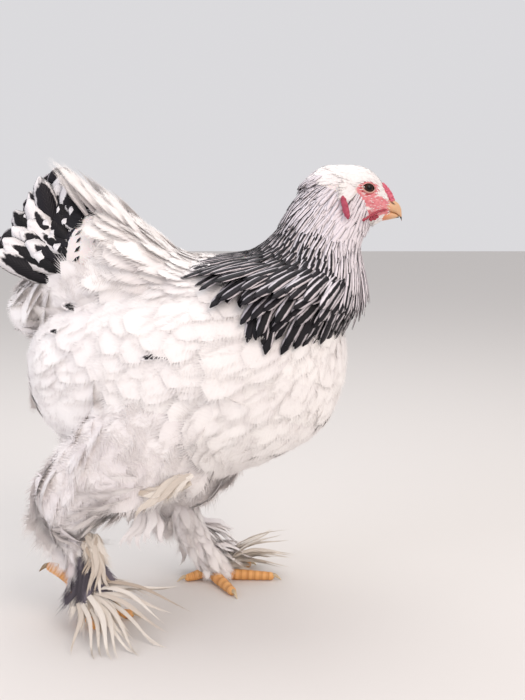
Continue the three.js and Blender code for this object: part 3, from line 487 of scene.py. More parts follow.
# how feathers hug a form: rays fall on it from the probe's height, a feather lies over it by the gap,
# or under the coat of another form that stands higher than the climb
hugLook = {"probe": 40, "ray": 140, "gap": 0.8, "climb": 14, "lift": (-0.6, 0.4), "curl": (-0.6, 0.8)}


def hugging(tree, roots, lie, out, reach, deep, droop):
    # the lift and curl that keep a feather's middle and tip just over the form that it lies on,
    # and whether its root lies in the open
    bows, clear = np.zeros((len(roots), 2)), np.ones(len(roots))
    for i, (root, ahead, up, length) in enumerate(zip(roots, lie, out, reach)):
        heights = []
        for t in (0, 0.5, 1):
            start = root + ahead * length * t + up * hugLook["probe"]
            hit = tree.ray_cast(Vector(start), Vector(-up), hugLook["ray"])[3]
            low = -droop * length * t
            if hit is None:
                heights.append(low / 2)
            else:
                over = hugLook["probe"] - hit + min(hugLook["gap"], 0.03 * length)
                heights.append(max(min(over, deep + hugLook["climb"]), low))
        clear[i] = heights[0] < deep + 2
        lift = (4 * heights[1] - heights[2]) / length
        bows[i] = np.clip(lift, *hugLook["lift"]), np.clip(lift - heights[2] / length, *hugLook["curl"])
    return bows, clear


def surfaceTraits(body, s, a, height, way, look, u, v, form=None, droop=0.5):
    # what each feather is like at stations and angles: way gives its lie from the places and the
    # body's own direction, and look gives its size, bow, tone and how thickly they grow
    points = body.at(s, a, height)
    ahead = unit(body.at(s + 0.03, a, height) - body.at(s - 0.03, a, height))
    around = body.at(s, a + 1, height) - body.at(s, a - 1, height)
    out = unit(np.cross(ahead, around))
    outwards = np.sign(((points - body.ring(s)[:, :3]) * out).sum(1))[:, None]
    out = out * np.where(outwards == 0, 1, outwards)
    lie = way(points, ahead)
    lie = unit(lie - out * (lie * out).sum(1)[:, None])
    size, bow, tone, thick = look(s, a, points)
    bow = np.array(np.broadcast_to(bow, (len(points), 3)))
    if form:
        bows, clear = hugging(form, points, lie, out, np.asarray(size)[:, 1], -height, droop)
        bow[:, 1:] += bows
        thick = thick * clear
    return points, {"lie": lie, "out": out, "size": np.asarray(size) / 1000, "bow": bow, "tone": tone,
                    "thick": thick, "unwrap": np.stack([u, v, u * 0], 1)}


def surfaceGuide(body, first, last, low, high, height, way, look, form, rows, around, droop=0.5):
    # the part of a body's surface between two stations and angles, with the lie of its feathers
    s, a = body.grid(first, last, rows, around, low, high, height)[:2]
    u = np.tile(np.linspace(0.01, 0.985, around), rows)
    v = np.repeat(np.linspace(0.01, 0.985, rows), around)
    points, traits = surfaceTraits(body, s, a, height, way, look, u, v, form, droop)
    grid = points.reshape(rows, around, 3)
    normal = np.cross(np.gradient(grid, axis=0), np.gradient(grid, axis=1)).reshape(-1, 3)
    faces = gridFaces(rows, around)
    if (normal * traits["out"]).sum() > 0:
        faces = [face[::-1] for face in faces]
    del traits["out"]
    return guideMesh(points, faces, traits)


def rowGuide(body, stations, spacing, height, way, look):
    # loose points in staggered rows round a body, each row evenly spaced along its own length
    pick = np.random.default_rng(3)
    turns = np.linspace(0, 360, 181)
    s, a, u, v = [], [], [], []
    for i, station in enumerate(stations):
        ring = body.at(np.full(181, station), turns, height)
        gone = np.concatenate([[0], np.cumsum(np.linalg.norm(np.diff(ring, axis=0), axis=1))])
        count = max(3, round(gone[-1] / np.interp(station, *spacing)))
        share = (np.arange(count) + (0.25 if i % 2 else 0.75) + pick.uniform(-0.2, 0.2, count)) / count
        a.extend(np.interp(share * gone[-1], gone, turns))
        s.extend(station + pick.uniform(-0.3, 0.3, count) * abs(stations[1] - stations[0]))
        u.extend(0.01 + 0.97 * share % 0.98)
        v.extend(np.full(count, 0.01 + 0.97 * i / len(stations)))
    s, a, u, v = map(np.array, (s, a, u, v))
    points, traits = surfaceTraits(body, s, a, height, way, look, u, v)
    return guideMesh(points, [], traits)


def drift(points, size, seed=0):
    # a slow change over a surface, from -1 to 1, that parts the coat into soft clumps
    return np.array([noise.noise(Vector(p / size) + Vector((seed, seed, 0))) * 1.6 for p in points])


def placeGuide(feathers):
    # loose points for feathers given by root, tip, the way they face, width, bow and tone
    root, tip, out, width, bow, tone = (np.array([f[k] for f in feathers], float) for k in range(6))
    lie = unit(tip - root)
    out = unit(out - lie * (out * lie).sum(1)[:, None])
    reach = np.linalg.norm(tip - root, axis=1)
    count = len(feathers)
    steps = math.ceil(math.sqrt(count))
    u = 0.02 + 0.95 * (np.arange(count) % steps) / steps
    v = 0.02 + 0.95 * (np.arange(count) // steps) / steps
    traits = {"lie": lie, "out": out, "size": np.stack([width, reach, reach], 1) / 1000, "bow": bow,
              "tone": tone, "unwrap": np.stack([u, v, u * 0], 1)}
    return guideMesh(root, [], traits)


def bowThrough(root, middle, tip, out):
    # the lift and curl of a feather whose middle and tip are given, for its straight line from root to tip
    reach = np.linalg.norm(tip - root)
    rise = 4 * np.dot(middle - (root + tip) / 2, unit(out)) / reach
    return rise, rise


# Materials

def newMaterial(name):
    # a new material, its shader, and the way to add nodes to it
    material = bpy.data.materials.new(name)
    material.use_nodes = True
    tree = material.node_tree
    return material, tree.nodes["Principled BSDF"], partial(addNode, tree)


whiteLook = {"pale": "#faf6f3", "shade": "#cabcc0", "roughness": 0.65, "sheen": 0.3, "soft": 0.78}


def featherTraits(add):
    # the places on a feather and their parts, and each feather's tone and chance
    leaf = add("Attribute", {}, 1, attribute_name="leaf")
    tone, luck = (add("Attribute", {}, 2, attribute_name=name) for name in ("tone", "chance"))
    return leaf, add("SeparateXYZ", {0: leaf}).node.outputs, tone, luck


def softNormal(add, share):
    # loose barbs scatter light like one soft mass: the normal leans to the way that the whole coat faces
    flat = add("NewGeometry").node.outputs["Normal"]
    coat = add("Attribute", {}, 1, attribute_name="out")
    facing = add("VectorMath DOT_PRODUCT", {0: coat, 1: flat}, 1)
    facing = add("Math SIGN", {0: facing})
    coat = add("VectorMath SCALE", {0: coat, "Scale": facing})
    mixed = add("Mix VECTOR", {0: share, 4: flat, 5: coat}, 1)
    return add("VectorMath NORMALIZE", {0: mixed})


def barbBump(add, parts, count, strength, soft):
    # barbs run out and forwards from the shaft: count of them along a feather, drawn coarser than real
    outwards = add("Math ABSOLUTE", {0: parts["X"]})
    lines = add("Math MULTIPLY_ADD", {0: outwards, 1: -0.35, 2: parts["Y"]})
    lines = add("Math MULTIPLY", {0: lines, 1: float(count)})
    wave = add("Math SINE", {0: lines})
    normal = softNormal(add, soft)
    return add("Bump", {"Strength": strength, "Distance": 0.0004, "Height": wave, "Normal": normal})


def whitePlumage():
    # keratin barbs zipped into a soft white vane with a satin sheen: painted shade makes it greyer towards the
    # root, where the feathers overlap, and each feather's chance and tone make it greyer too
    material, shader, add = newMaterial("satin white plumage")
    parts, tone, luck = featherTraits(add)[1:]
    # painted shade: a quarter of the way to the shade colour at the root, fading out by seven tenths of the
    # length
    root = add("MapRange", {"Value": parts["Y"], 1: 0.15, 2: 0.7, 3: 0.25, 4: 0.0})
    grey = add("Math MULTIPLY_ADD", {0: luck, 1: 0.12, 2: root})
    # the tone is each feather's own, and low on the body and the rump it also holds painted shade
    grey = add("Math ADD", {0: grey, 1: tone}, use_clamp=True)
    color = add("Mix RGBA", {0: grey, 6: whiteLook["pale"], 7: whiteLook["shade"]}, 2)
    feed(shader, {"Base Color": color, "Normal": barbBump(add, parts, 60, 0.12, whiteLook["soft"]),
                  "Roughness": whiteLook["roughness"], "Sheen Weight": whiteLook["sheen"],
                  "Sheen Roughness": 0.5, "Specular IOR Level": 0.3})
    return material


def patternedPlumage(name, centre, edge, core, soft, ragged, ends):
    # a dark vane with a pale edge: melanin gives the black its faint gloss, and ends says from where
    # on along the feather the pale edge closes round it
    material, shader, add = newMaterial(name)
    leaf, parts, tone, luck = featherTraits(add)
    along = add("MapRange", {"Value": parts["Y"], 1: ends[0], 2: 1.0, 3: ends[1], 4: 1.0})
    off = add("CombineXYZ", {"X": parts["X"], "Y": along})
    off = add("VectorMath LENGTH", {0: off}, 1)
    blotch = add("VectorMath MULTIPLY", {0: leaf, 1: (1, 4, 1)})
    blotch = add("TexNoise", {"Vector": blotch, "W": luck, "Scale": 2.4, "Detail": 3.0},
                 noise_dimensions="4D")
    off = add("Math MULTIPLY_ADD", {0: blotch, 1: ragged, 2: off})
    pale = add("Math ADD", {0: tone, 1: off})
    mask = add("MapRange", {"Value": pale, 1: core, 2: core + soft, 3: 0.0, 4: 1.0})
    dark = add("Mix RGBA", {0: luck, 6: centre, 7: "#1c181f"}, 2)
    color = add("Mix RGBA", {0: mask, 6: dark, 7: edge}, 2)
    feed(shader, {"Base Color": color, "Normal": barbBump(add, parts, 90, 0.3, 0.4), "Roughness": 0.5,
                  "Sheen Weight": 0.03, "Specular IOR Level": 0.25})
    return material


def plainPlume(name, pale, tip):
    # loose barbs of a downy feather: matt and soft, in a paler or a warmer tone from one to the next, where the
    # tone of the body's and rump's down also holds painted shade low down
    material, shader, add = newMaterial(name)
    leaf, parts, tone, luck = featherTraits(add)
    color = add("Mix RGBA", {0: tone, 6: pale, 7: tip}, 2)
    streak = add("TexNoise", {"Vector": leaf, "Scale": 6.0, "Detail": 3.0})
    shade = add("MapRange", {"Value": streak, 1: 0.3, 2: 0.7, 3: 0.86, 4: 1.04})
    color = add("VectorMath SCALE", {0: color, "Scale": shade})
    feed(shader, {"Base Color": color, "Normal": softNormal(add, whiteLook["soft"]), "Roughness": 0.75,
                  "Sheen Weight": 0.3, "Specular IOR Level": 0.25})
    return material


def skinMaterial():
    # bird skin: white under the coat, bare and rosy over the face, matt with fine pimples
    material, shader, add = newMaterial("bare bird skin")
    bare = add("Attribute", {}, 2, attribute_name="bare")
    place = add("TexCoord", {}, 3)
    blotch = add("TexNoise", {"Vector": place, "Scale": 260.0, "Detail": 4.0})
    red = add("Mix RGBA", {0: blotch, 6: "#c94a5c", 7: "#f4aeae"}, 2)
    patchy = add("Math MULTIPLY_ADD", {0: blotch, 1: 0.7, 2: bare})
    patchy = add("MapRange", {"Value": patchy, 1: 0.6, 2: 1.1, 3: 0.0, 4: 1.0})
    color = add("Mix RGBA", {0: patchy, 6: "#f3e9e4", 7: red}, 2)
    pimples = add("TexVoronoi", {"Vector": place, "Scale": 900.0})
    bump = add("Bump", {"Strength": 0.5, "Distance": 0.0004, "Height": pimples})
    feed(shader, {"Base Color": color, "Normal": bump, "Roughness": 0.5, "Subsurface Weight": 0.15,
                  "Subsurface Scale": 0.002, "Subsurface Radius": (1, 0.35, 0.2)})
    return material


def fleshMaterial(name, deep, light, scale, roughness):
    # comb and wattles: blood-filled skin, waxy, grainy, a little light passing through
    material, shader, add = newMaterial(name)
    place = add("TexCoord", {}, 3)
    blotch = add("TexNoise", {"Vector": place, "Scale": scale, "Detail": 5.0})
    color = add("Mix RGBA", {0: blotch, 6: deep, 7: light}, 2)
    grain = add("TexVoronoi", {"Vector": place, "Scale": 1100.0})
    bump = add("Bump", {"Strength": 0.6, "Distance": 0.0004, "Height": grain})
    feed(shader, {"Base Color": color, "Normal": bump, "Roughness": roughness, "Subsurface Weight": 0.2,
                  "Subsurface Scale": 0.002, "Subsurface Radius": (1, 0.3, 0.2)})
    return material


def hornLines(add, place):
    # the faint growth lines of keratin
    lines = add("TexNoise", {"Vector": place, "Scale": 700.0, "Detail": 2.0})
    return add("Bump", {"Strength": 0.2, "Distance": 0.0003, "Height": lines})


def clawMaterial():
    # claws: smooth keratin, dark towards the tip
    material, shader, add = newMaterial("pale horn claw")
    place = add("TexCoord", {}, 3)
    height = add("SeparateXYZ", {0: place}, 2)
    far = add("MapRange", {"Value": height, 1: 0.0, 2: 0.02, 3: 0.0, 4: 1.0}, interpolation_type="SMOOTHSTEP")
    stain = add("TexNoise", {"Vector": place, "Scale": 300.0, "Detail": 3.0})
    mixed = add("Math MULTIPLY_ADD", {0: stain, 1: 0.35, 2: far})
    mixed = add("Math SUBTRACT", {0: mixed, 1: 0.17}, use_clamp=True)
    color = add("Mix RGBA", {0: mixed, 6: "#d8c3a0", 7: "#8d7453"}, 2)
    feed(shader, {"Base Color": color, "Normal": hornLines(add, place), "Roughness": 0.4, "IOR": 1.54,
                  "Subsurface Weight": 0.05, "Subsurface Scale": 0.001})
    return material


def beakMaterial():
    # the beak: ochre keratin, rosier at its root, with a brown-black streak at the lower edge of the tip
    material, shader, add = newMaterial("ochre horn beak")
    place = add("TexCoord", {}, 3)
    ahead = add("SeparateXYZ", {0: place})
    start = (212 + shift[0]) / 1000
    root = add("MapRange", {"Value": ahead, 1: start, 2: start + 0.011, 3: 1.0, 4: 0.0})
    color = add("Mix RGBA", {0: root, 6: "#d9ad84", 7: "#dd8763"}, 2)
    off = add("VectorMath SUBTRACT", {0: place, 1: (np.array([231.5, 0, 465.6]) + shift) / 1000})
    off = add("VectorMath MULTIPLY", {0: off, 1: (220, 0, 520)})
    off = add("VectorMath LENGTH", {0: off}, 1)
    stain = add("MapRange", {"Value": off, 1: 0.7, 2: 1.2, 3: 1.0, 4: 0.0})
    color = add("Mix RGBA", {0: stain, 6: color, 7: "#2a1a12"}, 2)
    # painted shade: dark in the nostril slits and along the line of the closed mouth
    slitShade = add("Attribute", {}, 2, attribute_name="slitShade")
    color = add("Mix RGBA", {0: slitShade, 6: color, 7: "#4a241a"}, 2)
    feed(shader, {"Base Color": color, "Normal": hornLines(add, place), "Roughness": 0.36, "IOR": 1.54,
                  "Subsurface Weight": 0.08, "Subsurface Scale": 0.002})
    return material


def toeMaterial():
    # scutes of the toes: horny yellow plates with duller, browner joints between them
    material, shader, add = newMaterial("horny toe scutes")
    ridge = add("Attribute", {}, 2, attribute_name="ridge")
    place = add("TexCoord", {}, 3)
    stain = add("TexNoise", {"Vector": place, "Scale": 120.0, "Detail": 4.0})
    warm = add("Mix RGBA", {0: stain, 6: "#dc9548", 7: "#f2be80"}, 2)
    color = add("Mix RGBA", {0: ridge, 6: "#c98746", 7: warm}, 2)
    grain = add("TexVoronoi", {"Vector": place, "Scale": 800.0})
    bump = add("Bump", {"Strength": 0.3, "Distance": 0.0003, "Height": grain})
    feed(shader, {"Base Color": color, "Normal": bump, "Roughness": 0.45, "Subsurface Weight": 0.08,
                  "Subsurface Scale": 0.002})
    return material


def ringed(add, attribute, stops):
    # a colour by the distance from a middle, given as shares and colours from the inside out
    ramp = add("ValToRGB", {"Fac": add("Attribute", {}, 2, attribute_name=attribute)})
    elements = ramp.node.color_ramp.elements
    for share, color in stops[1:-1]:
        elements.new(share)
    for element, (share, color) in zip(elements, stops):
        element.color = hexColor(color)
    return ramp


def lidMaterial():
    # thin bare lids: a dark wet rim, a paler lower lid, and rosy skin outside them
    material, shader, add = newMaterial("rosy eyelid")
    color = ringed(add, "rim", [(0, "#1a0b0a"), (0.12, "#3b1a18"), (0.3, "#c79a8c"), (0.55, "#d8a497"),
                                (1, "#c85f66")])
    folds = add("TexNoise", {"Vector": add("TexCoord", {}, 3), "Scale": 1200.0, "Detail": 2.0})
    bump = add("Bump", {"Strength": 0.3, "Distance": 0.0003, "Height": folds})
    feed(shader, {"Base Color": color, "Normal": bump, "Roughness": 0.4, "Subsurface Weight": 0.1,
                  "Subsurface Scale": 0.001})
    return material


def eyeMaterial():
    # a wet brown-black eye under a clear cornea: colour by the distance from its middle
    material, shader, add = newMaterial("wet cornea")
    color = ringed(add, "off", [(0, "#030202"), (0.3, "#060404"), (0.36, "#2e160c"), (0.62, "#3d2012"),
                                (0.7, "#140a07"), (1, "#1b0f0c")])
    feed(shader, {"Base Color": color, "Roughness": 0.3, "Specular IOR Level": 0.1, "Coat Weight": 0.5,
                  "Coat Roughness": 0.03, "Coat IOR": 1.38})
    return material


materials = {
    "white": whitePlumage(),
    "striped": patternedPlumage("striped hackle feather", "#0d0b10", "#efe6ea", 0.78, 0.14, 0.3, (0.999, 0)),
    "laced": patternedPlumage("laced covert feather", "#0c0b0f", "#f6f1f1", 0.98, 0.1, 0.5, (0.4, 0)),
    "spotted": patternedPlumage("spotted white feather", "#0c0b0f", "#f6f1f1", 0.95, 0.3, 0.8, (0, -1)),
    "black": patternedPlumage("glossy black flight feather", "#08070a", "#cfc8cc", 1.06, 0.06, 0.3, (0.8, 0)),
    "down": plainPlume("white down", "#f4eeea", "#cfc3c4"),
    "cream": plainPlume("cream plume", "#f0e8dd", "#ab9680"),
    "smoky": plainPlume("smoky grey plume", "#77707a", "#201d22"),
    "skin": skinMaterial(),
    "comb": fleshMaterial("grainy pink comb", "#b2304c", "#ee8296", 420.0, 0.42),
    "wattle": fleshMaterial("crimson wattle", "#7a1024", "#c24a5c", 300.0, 0.38),
    "lobe": fleshMaterial("crimson earlobe", "#80142c", "#d05a72", 300.0, 0.45),
    "lid": lidMaterial(),
    "beak": beakMaterial(),
    "claw": clawMaterial(),
    "toe": toeMaterial(),
    "eye": eyeMaterial(),
}
print("materials made")

# Skin: one closed surface under the coat, bare at the face

skinLook = {"voxel": 2.6, "coatDepth": 6.0, "thighDepth": 10.0, "smoothing": 5}
bareFace = [((193, 498), (14, 9)), ((192, 487), (13, 8)), ((204, 483), (12, 8)), ((215, 478), (10, 8)),
            ((166, 478), (6, 13)), ((200, 472), (12, 4))]


def bareness(points):
    # how bare the face is at each place: 1 round the eye and over the cheek, 0 under the feathers
    bare = np.zeros(len(points))
    for (x, z), (wide, high) in bareFace:
        off = np.sqrt(((points[:, 0] - x) / wide) ** 2 + ((points[:, 2] - z) / high) ** 2)
        bare = np.maximum(bare, np.clip((1.15 - off) / 0.3, 0, 1))
    comb = np.hypot((points[:, 0] - 218) / 10, (points[:, 2] - 495) / 14)
    return np.maximum(bare * np.clip((np.abs(points[:, 1]) - 4) / 4, 0, 1),
                      np.clip((1.1 - comb) / 0.3, 0, 1) * (np.abs(points[:, 1]) < 7))


def makeSkin():
    parts = [
        torso.loft("torso skin", h=-skinLook["coatDepth"]), neck.loft("neck skin", h=-12),
        head.loft("head skin", 40, 48, -1), tailCore.loft("tail skin", h=-4),
    ]
    for side in sides:
        parts.append(thighs[side].loft("thigh skin", 30, 32, -skinLook["thighDepth"]))
        parts.append(tube("shank skin", shanks[side][0], [r - 5 for r in shanks[side][1]]))
    skin = joined("skin", parts)
    remesh = skin.modifiers.new("one surface", "REMESH")
    remesh.mode = "VOXEL"
    remesh.voxel_size = skinLook["voxel"] / 1000
    remesh.use_smooth_shade = True
    smooth = skin.modifiers.new("soft joins", "SMOOTH")
    smooth.iterations = skinLook["smoothing"]
    baked(skin)
    refineHead(skin)
    nodes = ["torso", "neck", "head", "tail"]
    nodes += [f"{part}_{side}" for part in ("wing", "thigh", "shank") for side in sides]
    finished(skin, "skin", nodes)


def refineHead(skin):
    # finer faces over the head, with the wrinkles and sunken eye sockets of bare skin
    work = bmesh.new()
    work.from_mesh(skin.data)
    face = [e for e in work.edges if all(v.co.x * 1000 - shift[0] > 150 and v.co.z > 0.45 for v in e.verts)]
    bmesh.ops.subdivide_edges(work, edges=face, cuts=2, use_grid_fill=True, smooth=0.3)
    bmesh.ops.triangulate(work, faces=[f for f in work.faces if len(f.verts) > 4])
    work.to_mesh(skin.data)
    work.free()
    mesh = skin.data
    places = np.empty(len(mesh.vertices) * 3)
    mesh.vertices.foreach_get("co", places)
    places = places.reshape(-1, 3) * 1000 - shift
    normals = np.empty(len(mesh.vertices) * 3)
    mesh.vertices.foreach_get("normal", normals)
    normals = normals.reshape(-1, 3)
    bare = bareness(places)
    addAttribute(mesh, "bare", bare)
    eyeOff = np.hypot((places[:, 0] - 192.5) / 9, (places[:, 2] - 499.5) / 8)
    sink = np.clip(1.1 - eyeOff, 0, 1) * 6 * (np.abs(places[:, 1]) > 6)
    wrinkle = np.zeros(len(places))
    for i in np.nonzero((bare > 0.05) & (places[:, 2] > 440))[0]:
        p = Vector(places[i] / 2.6)
        wrinkle[i] = noise.noise(p) * 0.6 + noise.noise(p * 2.6) * 0.3
    places += normals * (wrinkle * bare - sink)[:, None]
    mesh.vertices.foreach_set("co", ((places + shift) / 1000).ravel())
    mesh.update()
    mesh.shade_smooth()


makeSkin()

# Eyes, lids, beak, comb, wattles and earlobes

eyeLook = {"x": 192, "y": 11.5, "z": 499.5, "radius": 8, "halfLength": 6.3, "halfHeight": 4.4,
           "turn": 0.27, "rise": 0.12, "slant": 12}
# share of the opening, height over the eye, colour of the lower lid and of the upper lid
lidFolds = [(0.98, 6.6, 0, 0), (1.03, 7.3, 0.1, 0), (1.12, 7.4, 0.32, 0.06), (1.22, 6.9, 0.42, 0.7),
            (1.3, 6.9, 0.6, 0.9), (1.42, 6.2, 0.85, 1), (1.65, 4.6, 1, 1), (1.95, 1.6, 1, 1)]


def eyeFrame(side):
    # the way that an eye looks, the way along its opening and the way up its opening
    way = unit(np.array([eyeLook["turn"], side, eyeLook["rise"]]))
    level = unit(np.cross([0, 0, 1], way) * side)
    up = unit(np.cross(level, way) * -side)
    slant = math.radians(eyeLook["slant"])
    along = level * math.cos(slant) + up * math.sin(slant)
    return way, along, np.cross(way, along) * side


def makeEye(name, side):
    way, along, up = eyeFrame(side)
    middle = np.array([eyeLook["x"], eyeLook["y"] * side, eyeLook["z"]])
    points, off = [], []
    rows, around = 20, 32
    for i in range(rows + 1):
        t = math.pi * (i + 0.02) / (rows + 0.04)
        # the cornea bulges a little from the ball
        r = eyeLook["radius"] - 0.1 + 0.5 * max(0, 1 - t / 0.7) ** 0.5
        for k in range(around):
            turn = 2 * math.pi * k / around
            across = (along * math.cos(turn) + up * math.sin(turn)) * math.sin(t)
            points.append(middle + r * (way * math.cos(t) + across))
            off.append(min(1, t / 1.1))
    eye = meshObject("eyeball_" + name, points, closedFaces(rows + 1, around))
    addAttribute(eye.data, "off", off)
    finished(eye, "eye", ["eye_" + name])


def makeLids(name, side):
    # upper and lower lid: a rim round the opening, thickest above, with folds behind it
    way, along, up = eyeFrame(side)
    middle = np.array([eyeLook["x"], eyeLook["y"] * side, eyeLook["z"]])
    around = 40
    points, rim = [], []
    for share, out, lower, upper in lidFolds:
        for k in range(around):
            turn = 2 * math.pi * k / around
            c, d = math.cos(turn), math.sin(turn)
            length = eyeLook["halfLength"] * share
            height = eyeLook["halfHeight"] * share * (1 - 0.2 * abs(c) ** 3)
            ripple = 0.12 * math.sin(7 * turn + share * 20)
            over = out + ripple - 1.2 * c * c
            points.append(middle + along * (c * length) + up * (d * height) + way * over)
            rim.append(lower + (upper - lower) * min(1, max(0, 0.5 + 2.5 * d)))
    lids = meshObject("lids_" + name, points, gridFaces(len(lidFolds), around, True))
    addAttribute(lids.data, "rim", rim)
    soft = lids.modifiers.new("soft folds", "SUBSURF")
    soft.levels = soft.render_levels = 1
    finished(baked(lids), "lid", ())


beakUpper = Body([
    upright(210, 491, 474, 10.2, 477), upright(220, 488, 472.6, 7.9, 477),
    upright(227, 485, 470.6, 6, 475.5), upright(231.5, 480.5, 467.2, 4, 471.5),
    upright(233.6, 475, 463.6, 2.2, 467), upright(234.3, 466, 461.9, 0.7, 464),
])
beakLower = Body([
    upright(208, 474.2, 462, 8.8, 470), upright(220, 473.4, 464, 6.5, 469.5),
    upright(227, 471, 465.5, 4.2, 468.5), upright(230.6, 468, 466, 1.8, 467),
])
beakLip = {"x": (210, 220, 227, 231.5, 233.6), "z": (474, 472.6, 470.6, 467.2, 463.6)}


def makeBeak():
    upper = beakUpper.loft("bill_upper", 48, 64)
    slitShade = []
    for v in upper.data.vertices:
        # nostrils: a slit dented under a small horny lid on each side, painted dark as shade in the opening,
        # and painted shade along the line of the closed mouth
        x, y, z = np.array(v.co) * 1000 - shift
        along, over = (x - 222.5) * 0.86 - (z - 483) * 0.5, (x - 222.5) * 0.5 + (z - 483) * 0.86
        off = math.hypot(along / 3.4, over / 0.9)
        lid = math.hypot(along / 3.8, (over - 1.8) / 1.4)
        push = -1.8 * max(0, 1 - off) + 0.5 * max(0, 1 - lid)
        v.co.y += math.copysign(push, y) / 1000
        lip = z - np.interp(x, beakLip["x"], beakLip["z"])
        slitShade.append(max(min(1, 1.4 - off), 0.7 * min(1, 1 - lip / 1.4), 0))
    addAttribute(upper.data, "slitShade", slitShade)
    finished(upper, "beak", ["beak_upper"])
    finished(beakLower.loft("bill_lower", 24, 32), "beak", ["beak_lower"])


def blob(name, balls, voxel, rough, noiseSize, seed=0):
    # soft flesh from overlapping balls, melted together and roughened
    parts = []
    rows, around = 14, 20
    for x, y, z, a, b, c in balls:
        points = [(x + a * math.sin(i) * math.cos(k), y + b * math.sin(i) * math.sin(k), z + c * math.cos(i))
                  for i in np.linspace(0.02, math.pi - 0.02, rows)
                  for k in np.linspace(0, 2 * math.pi, around, endpoint=False)]
        parts.append(meshObject(name, points, closedFaces(rows, around)))
    made = joined(name, parts)
    remesh = made.modifiers.new("melt", "REMESH")
    remesh.mode = "VOXEL"
    remesh.voxel_size = voxel / 1000
    remesh.use_smooth_shade = True
    smooth = made.modifiers.new("soften", "SMOOTH")
    smooth.iterations = 4
    baked(made)
    normals = [v.normal.copy() for v in made.data.vertices]
    for v, normal in zip(made.data.vertices, normals):
        p = v.co * 1000 / noiseSize + Vector((seed, 0, 0))
        v.co += normal * (noise.noise(p) + 0.5 * noise.noise(p * 2.3)) * rough / 1000
    made.data.update()
    return made


# rows of the comb: y, number of bulbs, their size and their height over the middle line
combLook = {"back": (211, 505.5), "front": (225.3, 485.2), "crown": 1,
            "rows": [(0, 7, 3.3, -0.9), (4.2, 6, 2.8, -2.8), (-4.2, 6, 2.8, -2.8), (0, 5, 6, -5.4)]}


def makeComb():
    # a pea comb: three low rows of small bulbs on a thick root
    balls = []
    (backX, backZ), (frontX, frontZ) = combLook["back"], combLook["front"]
    for y, count, size, height in combLook["rows"]:
        for i in range(count):
            t = (i + 0.5) / count
            x = backX + t * (frontX - backX) + height * 0.85
            z = backZ + t * (frontZ - backZ) + height * 0.5
            r = size * (0.7 + 0.4 * math.sin(math.pi * t))
            balls.append((x, y, z + combLook["crown"] * math.sin(math.pi * t), r, r * 0.85, r))
    finished(blob("pea_comb", balls, 0.5, 0.8, 1.8), "comb", ["comb"])


# the fold at the corner of the mouth, and balls of the wattle and the earlobe as x, z and size
wattleLook = {
    "fold": (214, 475.5, -27, -11.5),
    "wattle": [(204, 467.5, 2.4), (200.5, 466, 3), (196.5, 464.5, 2.6)],
    "lobe": [(162.5, 487, 2.4), (164, 483, 3.3), (165.5, 478, 3.7), (167, 473, 3.2), (168.5, 469, 2.2)],
}


def makeWattles(name, side):
    # the mouth's corner is a dark crimson fold that runs down and back, with the small wattle under it
    def onFace(x, z):
        return seenFrom(headTree, x, z, side)[0][1]
    balls = []
    startX, startZ, back, down = wattleLook["fold"]
    for t in np.linspace(0, 1, 15):
        x, z = startX + back * t, startZ + down * t ** 1.3
        balls.append((x, onFace(x, z), z, 2, 1.3, 1 + 0.7 * t))
    balls += [(x, onFace(x, z), z, size, 1.6, size * 0.9) for x, z, size in wattleLook["wattle"]]
    finished(blob("wattles_" + name, balls, 0.6, 0.6, 2.5, side), "wattle", ["wattle_" + name])
    lobe = [(x, onFace(x, z) + 0.6 * side, z, size, 3.2, size * 2) for x, z, size in wattleLook["lobe"]]
    finished(blob("lobe_" + name, lobe, 0.7, 0.6, 3.2, side), "lobe", ["earlobe_" + name])


for name, side in sides.items():
    makeEye(name, side)
    makeLids(name, side)
makeBeak()
makeComb()
for name, side in sides.items():
    makeWattles(name, side)

# Feet: toes with rings of scutes, pads and claws

toes = {
    "right": {
        "hind": ([(-148, -60, 44), (-163, -59, 56), (-176, -58, 62)], [8, 7.6, 5.8]),
        "inner": ([(-146, -56, 38), (-130, -46, 14), (-112, -37, 5)], [7.5, 6.5, 5]),
        "middle": ([(-146, -62, 38), (-124, -62, 13), (-104, -62, 6.2), (-84, -62, 5.2)], [8, 7, 6.2, 5.2]),
        "outer": ([(-146, -68, 38), (-132, -80, 13), (-119, -92, 5)], [7.5, 6.4, 5]),
    },
    "left": {
        "hind": ([(0, 53, 11), (-14, 50, 7), (-24, 48, 4.8)], [7, 6, 4.8]),
        "inner": ([(8, 50, 9), (22, 26, 6.6), (34, 4, 5.2)], [7.6, 6.6, 5.2]),
        "middle": ([(8, 55, 9.5), (34, 54, 7), (58, 53, 6.2), (82, 52, 5.2)], [8.2, 7, 6.2, 5.2]),
        "outer": ([(8, 60, 9), (30, 78, 6.6), (52, 94, 5.2)], [7.6, 6.6, 5.2]),
    },
}
pads = {
    "right": ([(-147, -63, 56), (-148, -62, 40)], [9, 10]),
    "left": ([(6, 55, 24), (5, 55, 12)], [11, 11]),
}
scuteLook = {"spacing": 3, "height": 0.4, "clawLength": 15}


def scuted(toe, path):
    # rings of overlapping plates over the top of a toe, and a flatter sole on the floor
    mesh = toe.data
    line = np.array(path, float)
    ridge = []
    for v in mesh.vertices:
        p = np.array(v.co) * 1000 - shift
        gaps = [(np.linalg.norm(p - line[k] * (1 - t) - line[k + 1] * t), k + t)
                for k in range(len(line) - 1) for t in np.linspace(0, 1, 12)]
        place = min(gaps)[1] * np.linalg.norm(line[-1] - line[0]) / (len(line) - 1)
        wave = (place / scuteLook["spacing"]) % 1
        plate = min(1, wave * 1.4) if wave < 0.85 else (1 - wave) / 0.15
        v.co += v.normal * (plate - 0.5) * scuteLook["height"] / 1000
        v.co.z = max(v.co.z, 0.0001)
        ridge.append(min(1, plate * 1.6))
    addAttribute(mesh, "ridge", ridge)
    return toe


